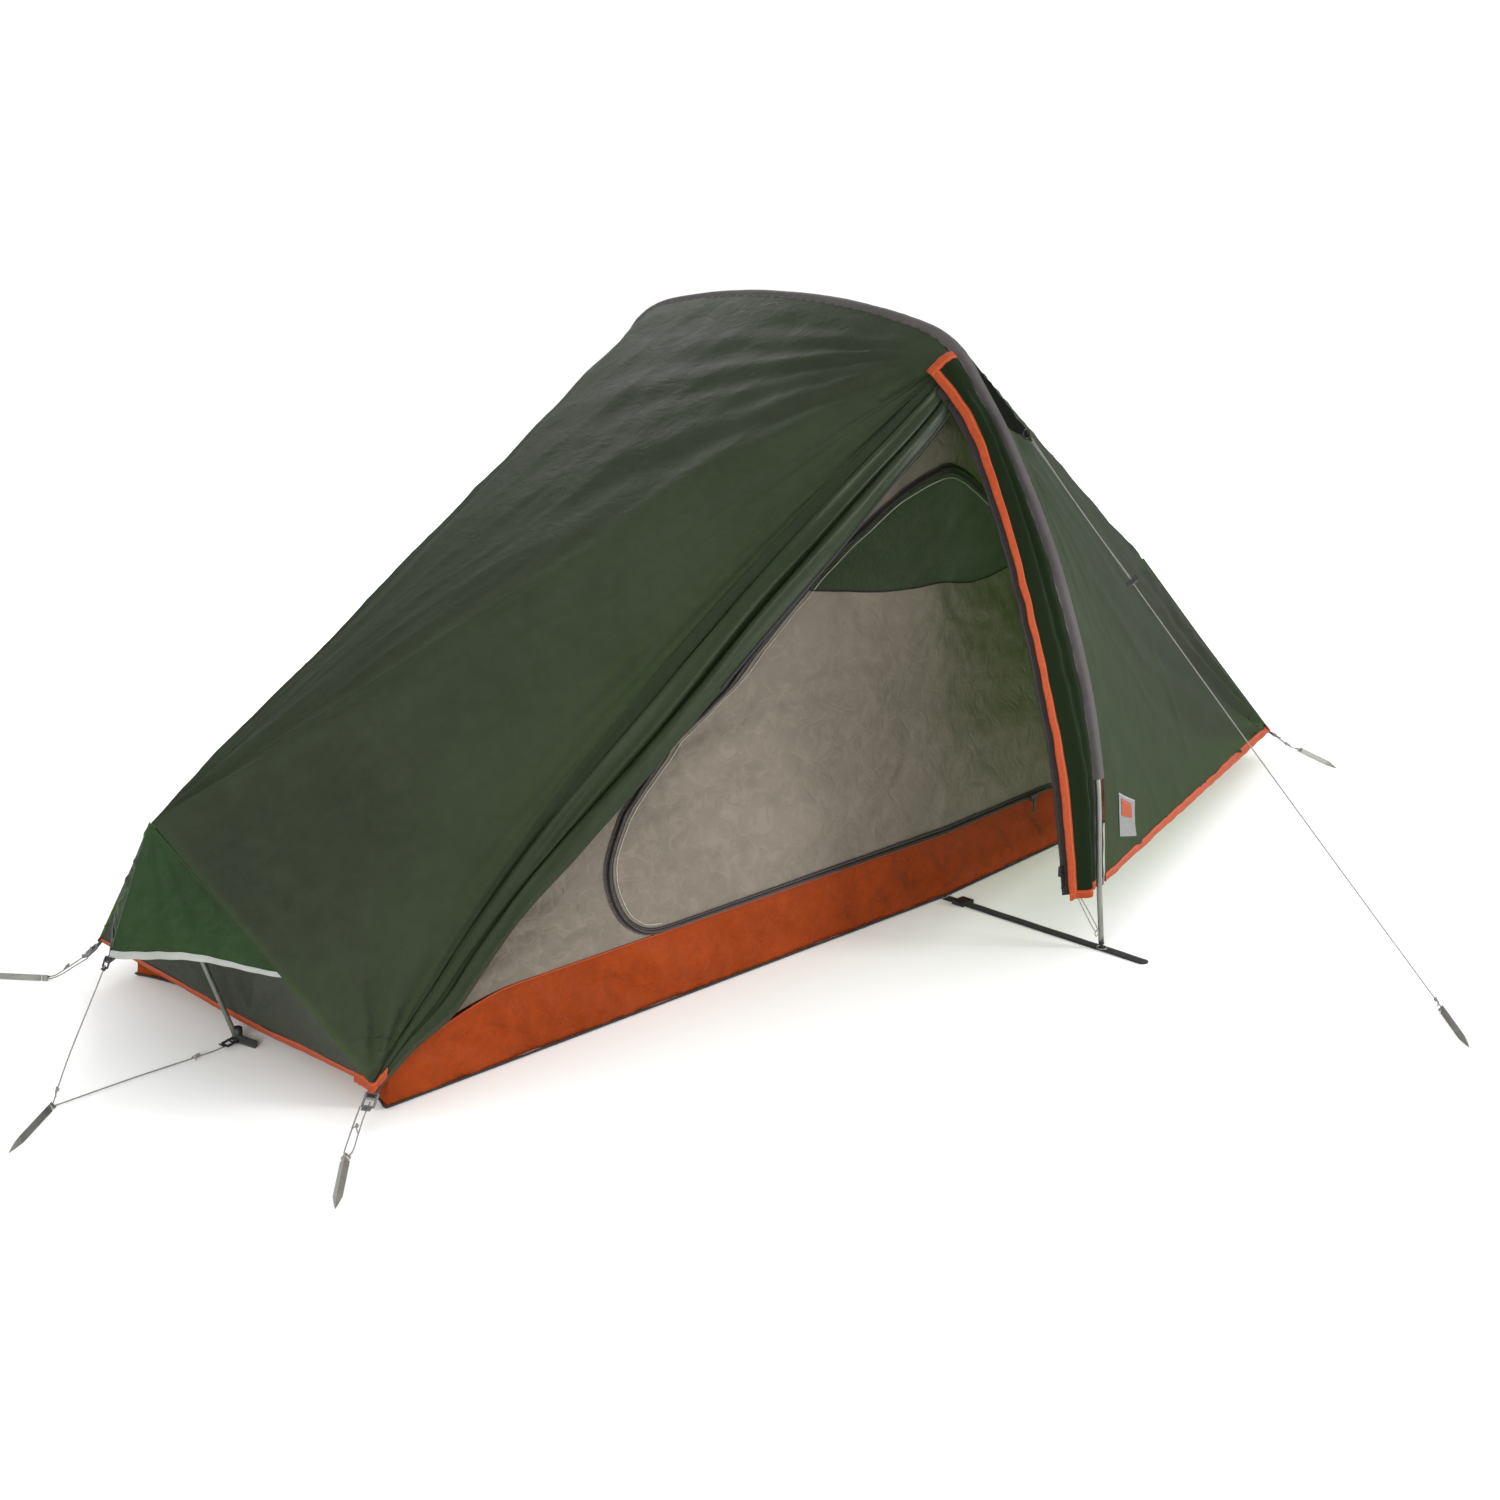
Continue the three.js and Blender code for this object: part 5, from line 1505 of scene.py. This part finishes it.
def make_tub():
    rim = tub_corner_path()
    count = TUB_POINTS
    base = rim.evenly(count + 1)[:-1]
    tangent = unit(np.roll(base, -1, axis=0) - np.roll(base, 1, axis=0))
    outward = np.stack([tangent[:, 1], -tangent[:, 0], np.zeros(count)], -1)
    s = np.linspace(0, rim.length, count, endpoint=False)
    columns, heights = [], np.linspace(TUB_TOP + 0.004, 0.003, 18)
    lower = rim_height(base[:, 0]) / TUB_TOP
    for z in heights:
        rise = min(z / TUB_TOP, 1)
        folds = 0.0045 * ripples(s, z, 91, 0.05, 0.16, 0.9, 0.35)
        folds = folds + 0.0100 * ridges(s, z, 92, 0.06, 0.18, 0.8, 0.5)
        bulge = 0.004 * math.sin(math.pi * rise) + folds * math.sin(math.pi * (0.1 + 0.85 * rise))
        columns.append(base + outward * (bulge - 0.003)[:, None] + UP * (z * lower)[:, None])
    for column, z in zip(columns, heights):
        column[:, 0] += end_tuck(base) * (1 - 0.6 * z / TUB_TOP)
    base = base + np.stack([end_tuck(base), np.zeros(count), np.zeros(count)], -1)
    spine = base * np.array([0.86, 0, 0])
    for k in np.linspace(0, 1, 16)[1:]:
        flat = lerp(base - outward * 0.003, spine, np.full(count, k))
        lift = 0.0010 + 0.0016 * (1 + ripples(flat[:, 0], flat[:, 1], 93, 0.06, 0.2)) * smoothstep(k, 0, 0.1)
        columns.append(flat + UP * np.clip(lift, 0.0006, 0.006)[:, None])
    points = np.array(columns).transpose(1, 0, 2)
    piece = grid("bathtub", points, M["tub"], close=True)
    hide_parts("bathtub_near", "bathtub_far", "bathtub_foot", "bathtub_head", "groundsheet")
    # a dark tube round the tub's foot, just above the ground, which darkens the line where the tub meets the
    # ground
    seam = rim.evenly(TUB_POINTS)
    seam[:, 0] += end_tuck(seam)
    piping("tub_foot_dark_line", seam + np.array([0, 0, 0.0030]), 0.0018)
    top = rim.evenly(TUB_POINTS)
    top[:, 0] += end_tuck(top) * 0.4
    top[:, 2] = rim_height(top[:, 0]) + 0.004
    piping("tub_top_seam", top, 0.0014, "binding")


# ---- pegs ----
# each peg's place on the ground and its heading in degrees
PEGS = {
    "peg_guy": ((0.160, -1.206), -137), "peg_near_foot": ((-1.263, -0.401), -131),
    "peg_far_foot": ((-1.250, 0.412), 128), "peg_foot_centre": ((-1.459, 0.005), -142),
    "peg_near_head": ((1.183, -0.376), -116),
}
PEG_LENGTH = 0.132


def make_peg(name, place, heading):
    """A V-section peg of bent alloy sheet: notched below its head and cut to a point."""
    x = np.linspace(-0.003, PEG_LENGTH - 0.003, 90)
    half, height, thick = 0.0062, 0.0072, 0.0012
    taper = np.clip((x[-1] - x) / 0.030, 0.06, 1) ** 0.8
    notch = 1 - 0.42 * np.exp(-(((x - 0.006) / 0.0022) ** 4))
    profile = [(-1, 0), (-0.5, 0.5), (0, 1), (0.5, 0.5), (1, 0)]
    rows = []
    for inner in (False, True):
        drop = thick * 1.3 if inner else 0
        side = profile[::-1] if inner else profile
        for y, z in side:
            width = (half - (thick * 0.7 if inner else 0)) * taper * notch
            rise = 0.0004 + (height * taper - drop) * z
            rows.append(np.stack([x, y * width, np.maximum(rise, 0.0003)], -1))
    rows.append(rows[0])
    points = np.array(rows)
    turn = math.radians(heading)
    spin = np.array([[math.cos(turn), math.sin(turn), 0], [-math.sin(turn), math.cos(turn), 0], [0, 0, 1]])
    points = points @ spin + np.array([place[0], place[1], 0])
    piece = grid(f"{name}_sheet", points, M["peg"], ride=None)
    piece.data.polygons.foreach_set("use_smooth", [False] * len(piece.data.polygons))
    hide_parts(name)
    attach(piece, name)


# ---- small hardware ----
def ladder_lock(name, centre, along, up, size, material):
    """A ladder-lock buckle: a frame with two cross bars and a lifted tongue."""
    centre, along, up = np.array(centre, float), unit(along), unit(up)
    side = unit(np.cross(along, up))
    up = np.cross(side, along)
    half, long, thick = size / 2, size * 0.62, size * 0.16
    rails = [centre + side * s * half for s in (-1, 1)]
    parts = [(rail - along * long, rail + along * long, thick, thick * 1.3, up) for rail in rails]
    for k, lift in ((-1, 0), (-0.15, 0.12), (0.85, 0)):
        middle = centre + along * long * k + up * size * lift
        parts.append((middle - side * half, middle + side * half, thick * 1.1, thick, up))
    tongue = centre + along * long
    parts.append((tongue, tongue + along * size * 0.35 + up * size * 0.2, size * 0.8, thick * 0.8, up))
    settle(bars(name, parts, M[material], size * 0.045), TENT)


def webbing_tab(name, points, width, up, count=24, round_end=False):
    """Flat woven tape through the points, face to up."""
    line = Path(points).evenly(count)
    half = np.full((count, 1), width / 2)
    if round_end:
        rest = np.linalg.norm(line - line[-1], axis=1, keepdims=True)
        half *= np.sqrt(1 - (1 - np.minimum(rest * 2 / width, 1)) ** 2)
    tangent = unit(np.gradient(line, axis=0))
    side = unit(np.cross(tangent, np.broadcast_to(up, line.shape)))
    normal = np.cross(side, tangent)
    profile = [(-1, 0), (-0.97, 0.5), (-0.5, 0.6), (0, 0.6), (0.5, 0.6), (0.97, 0.5), (1, 0),
               (0.97, -0.5), (0, -0.6), (-0.97, -0.5), (-1, 0)]
    rows = np.array([line + side * x * half + normal * y * 0.0014 for x, y in profile])
    return grid(name, rows, M["webbing"], weld=True)


def make_ground_straps():
    """Webbing on the ground from the tub out past the pole's tip, which stands in its metal eyelet."""
    for across, name in ((-1, "near"), (1, "far")):
        reach = np.linspace(*STRAP_REACH, 24)
        rise = 0.0010 + 0.0004 * ripples(reach, reach * 0, 95 + across, 0.05, 0.2)
        line = np.stack([reach * 0, reach * across, rise], -1)
        strap = webbing_tab(f"ground_strap_{name}_tape", line, 0.020, (0, 0, 1), count=130, round_end=True)
        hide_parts(f"ground_strap_{name}")
        turn = np.linspace(0, TAU, 33)
        circle = np.stack([np.cos(turn) * 0.0082, np.sin(turn) * 0.0082, turn * 0], -1)
        centre = np.array([0, across * LEG[0][0], 0.0020])
        tube(f"strap_eyelet_{name}", circle + centre, 0.0010, M["peg"], sides=10)


# the hem corners with a cord: name, end, side, the cord's direction and the ladder lock's place
CORNERS = [
    ("near_foot", FOOT, -1, (-0.7, -0.35, -0.62), (-1.195, -0.3645, 0.0455)),
    ("far_foot", FOOT, 1, (-0.7, 0.35, -0.62), (-1.195, 0.3645, 0.0455)),
    ("near_head", HEAD, -1, (0.75, -0.3, -0.6), (1.104, -0.3545, 0.0485)),
]


def make_corners():
    """The webbing and ladder lock of each corner."""
    for name, end, across, outward, lock_place in CORNERS:
        corner, outward = corner_of(end, across) + np.array([0, 0, -0.006]), unit(outward)
        up = UP - outward * outward[2]
        inner = corner - outward * 0.022 + np.array([0, 0, 0.006])
        webbing_tab(f"{name}_tab", [inner, corner, lerp(corner, np.array(lock_place), 0.8)], 0.014, up)
        ladder_lock(f"{name}_lock", lock_place, outward, up, 0.017, "grey_plastic")


def make_strut_foot():
    """Webbing and a moulded foot at the bottom of the foot strut, where its guy starts."""
    foot = np.array([-1.168, 0.0, 0.010])
    route = foot + np.array([[0.010, -0.034, -0.006], [-0.004, 0, 0], [0.010, 0.026, -0.006]])
    webbing_tab("strut_foot_tape", route, 0.012, (-1, 0, 0.6))
    cup = foot + np.array([[0, 0, -0.0085], [0.001, 0, 0.014]])
    tube("strut_foot_cup", cup, 0.0072, M["plastic"], sides=20)
    ladder_lock("strut_foot_lock", (-1.1845, -0.005, 0.0075), (-1, 0, -0.15), UP, 0.015, "plastic")


def make_hood_tabs():
    """Two webbing tabs and a ladder lock at each hood's tip."""
    for end, name in ((FOOT, "foot"), (HEAD, "head")):
        tip = spot(end, "hood_tip")
        out = end["side"]
        for side in (-1, 1):
            begin = tip + np.array([-out * 0.020, side * 0.006, 0.006])
            stop = tip + np.array([out * 0.004, side * 0.004, -0.005])
            route = [begin, lerp(begin, stop, 0.6), stop]
            webbing_tab(f"{name}_hood_tab_{side + 1}", route, 0.008, (out, 0, 1))
        place = tip + np.array([out * 0.005, 0, -0.007])
        ladder_lock(f"{name}_hood_lock", place, (out * 0.5, 0, -1), (out, 0, 0.5), 0.012, "plastic")


def make_leg_elastic():
    """A doubled elastic from the flap's hem to a small ring at the pole's foot."""
    ring_at, hem = np.array([-0.012, -0.6955, 0.030]), np.array([-0.058, -0.688, 0.104])
    turn = np.linspace(0, TAU, 25)
    circle = ring_at + np.stack([np.cos(turn), turn * 0, np.sin(turn)], -1) * 0.005
    ring = tube("leg_ring", circle, 0.0009, M["peg"], hint=(0, 1, 0))
    middle = (ring_at + hem) / 2
    route = [hem + np.array([-0.002, 0, 0]), middle + np.array([-0.005, -0.001, 0.001]),
             ring_at + np.array([-0.004, -0.001, 0.004]), ring_at + np.array([0.001, -0.001, 0.004]),
             middle + np.array([0.004, -0.001, 0.002]), hem + np.array([0.004, 0, 0])]
    cord("leg_elastic", route, radius=0.0009, count=60)


def finish_hardware():
    """CAD pieces that stay, in their own materials."""
    plain = {
        "plastic": ["inner_zip_slider", "fly_zip_slider", "pole_tip_near", "pole_tip_far",
                    "strap_buckle_near", "guy_ring", "line_lock"],
        "peg": ["pole_ferrule_1", "pole_ferrule_2", "pole_ferrule_3"],
        "pole": ["pole_section_2", "pole_section_3", "foot_strut", "head_strut"],
        "elastic": ["pole_shock_cord"],
    }
    for material, names in plain.items():
        for name in names:
            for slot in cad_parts[name].material_slots:
                slot.material = M[material]
    for name in plain["plastic"]:
        bevel(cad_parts[name], 0.0007)


make_camera()
make_studio()
make_cords()
make_fly_foot()
make_fly_head()
for make_part in (make_end, make_hood):
    make_part("fly_foot", FOOT)
    make_part("fly_head", HEAD)
make_flap()
make_sleeve()
make_pole()
make_inner()
make_inner_door()
make_inner_zip()
make_tub()
make_ground_straps()
make_corners()
make_strut_foot()
make_hood_tabs()
make_leg_elastic()
for peg, (place, heading) in PEGS.items():
    make_peg(peg, place, heading)
finish_hardware()
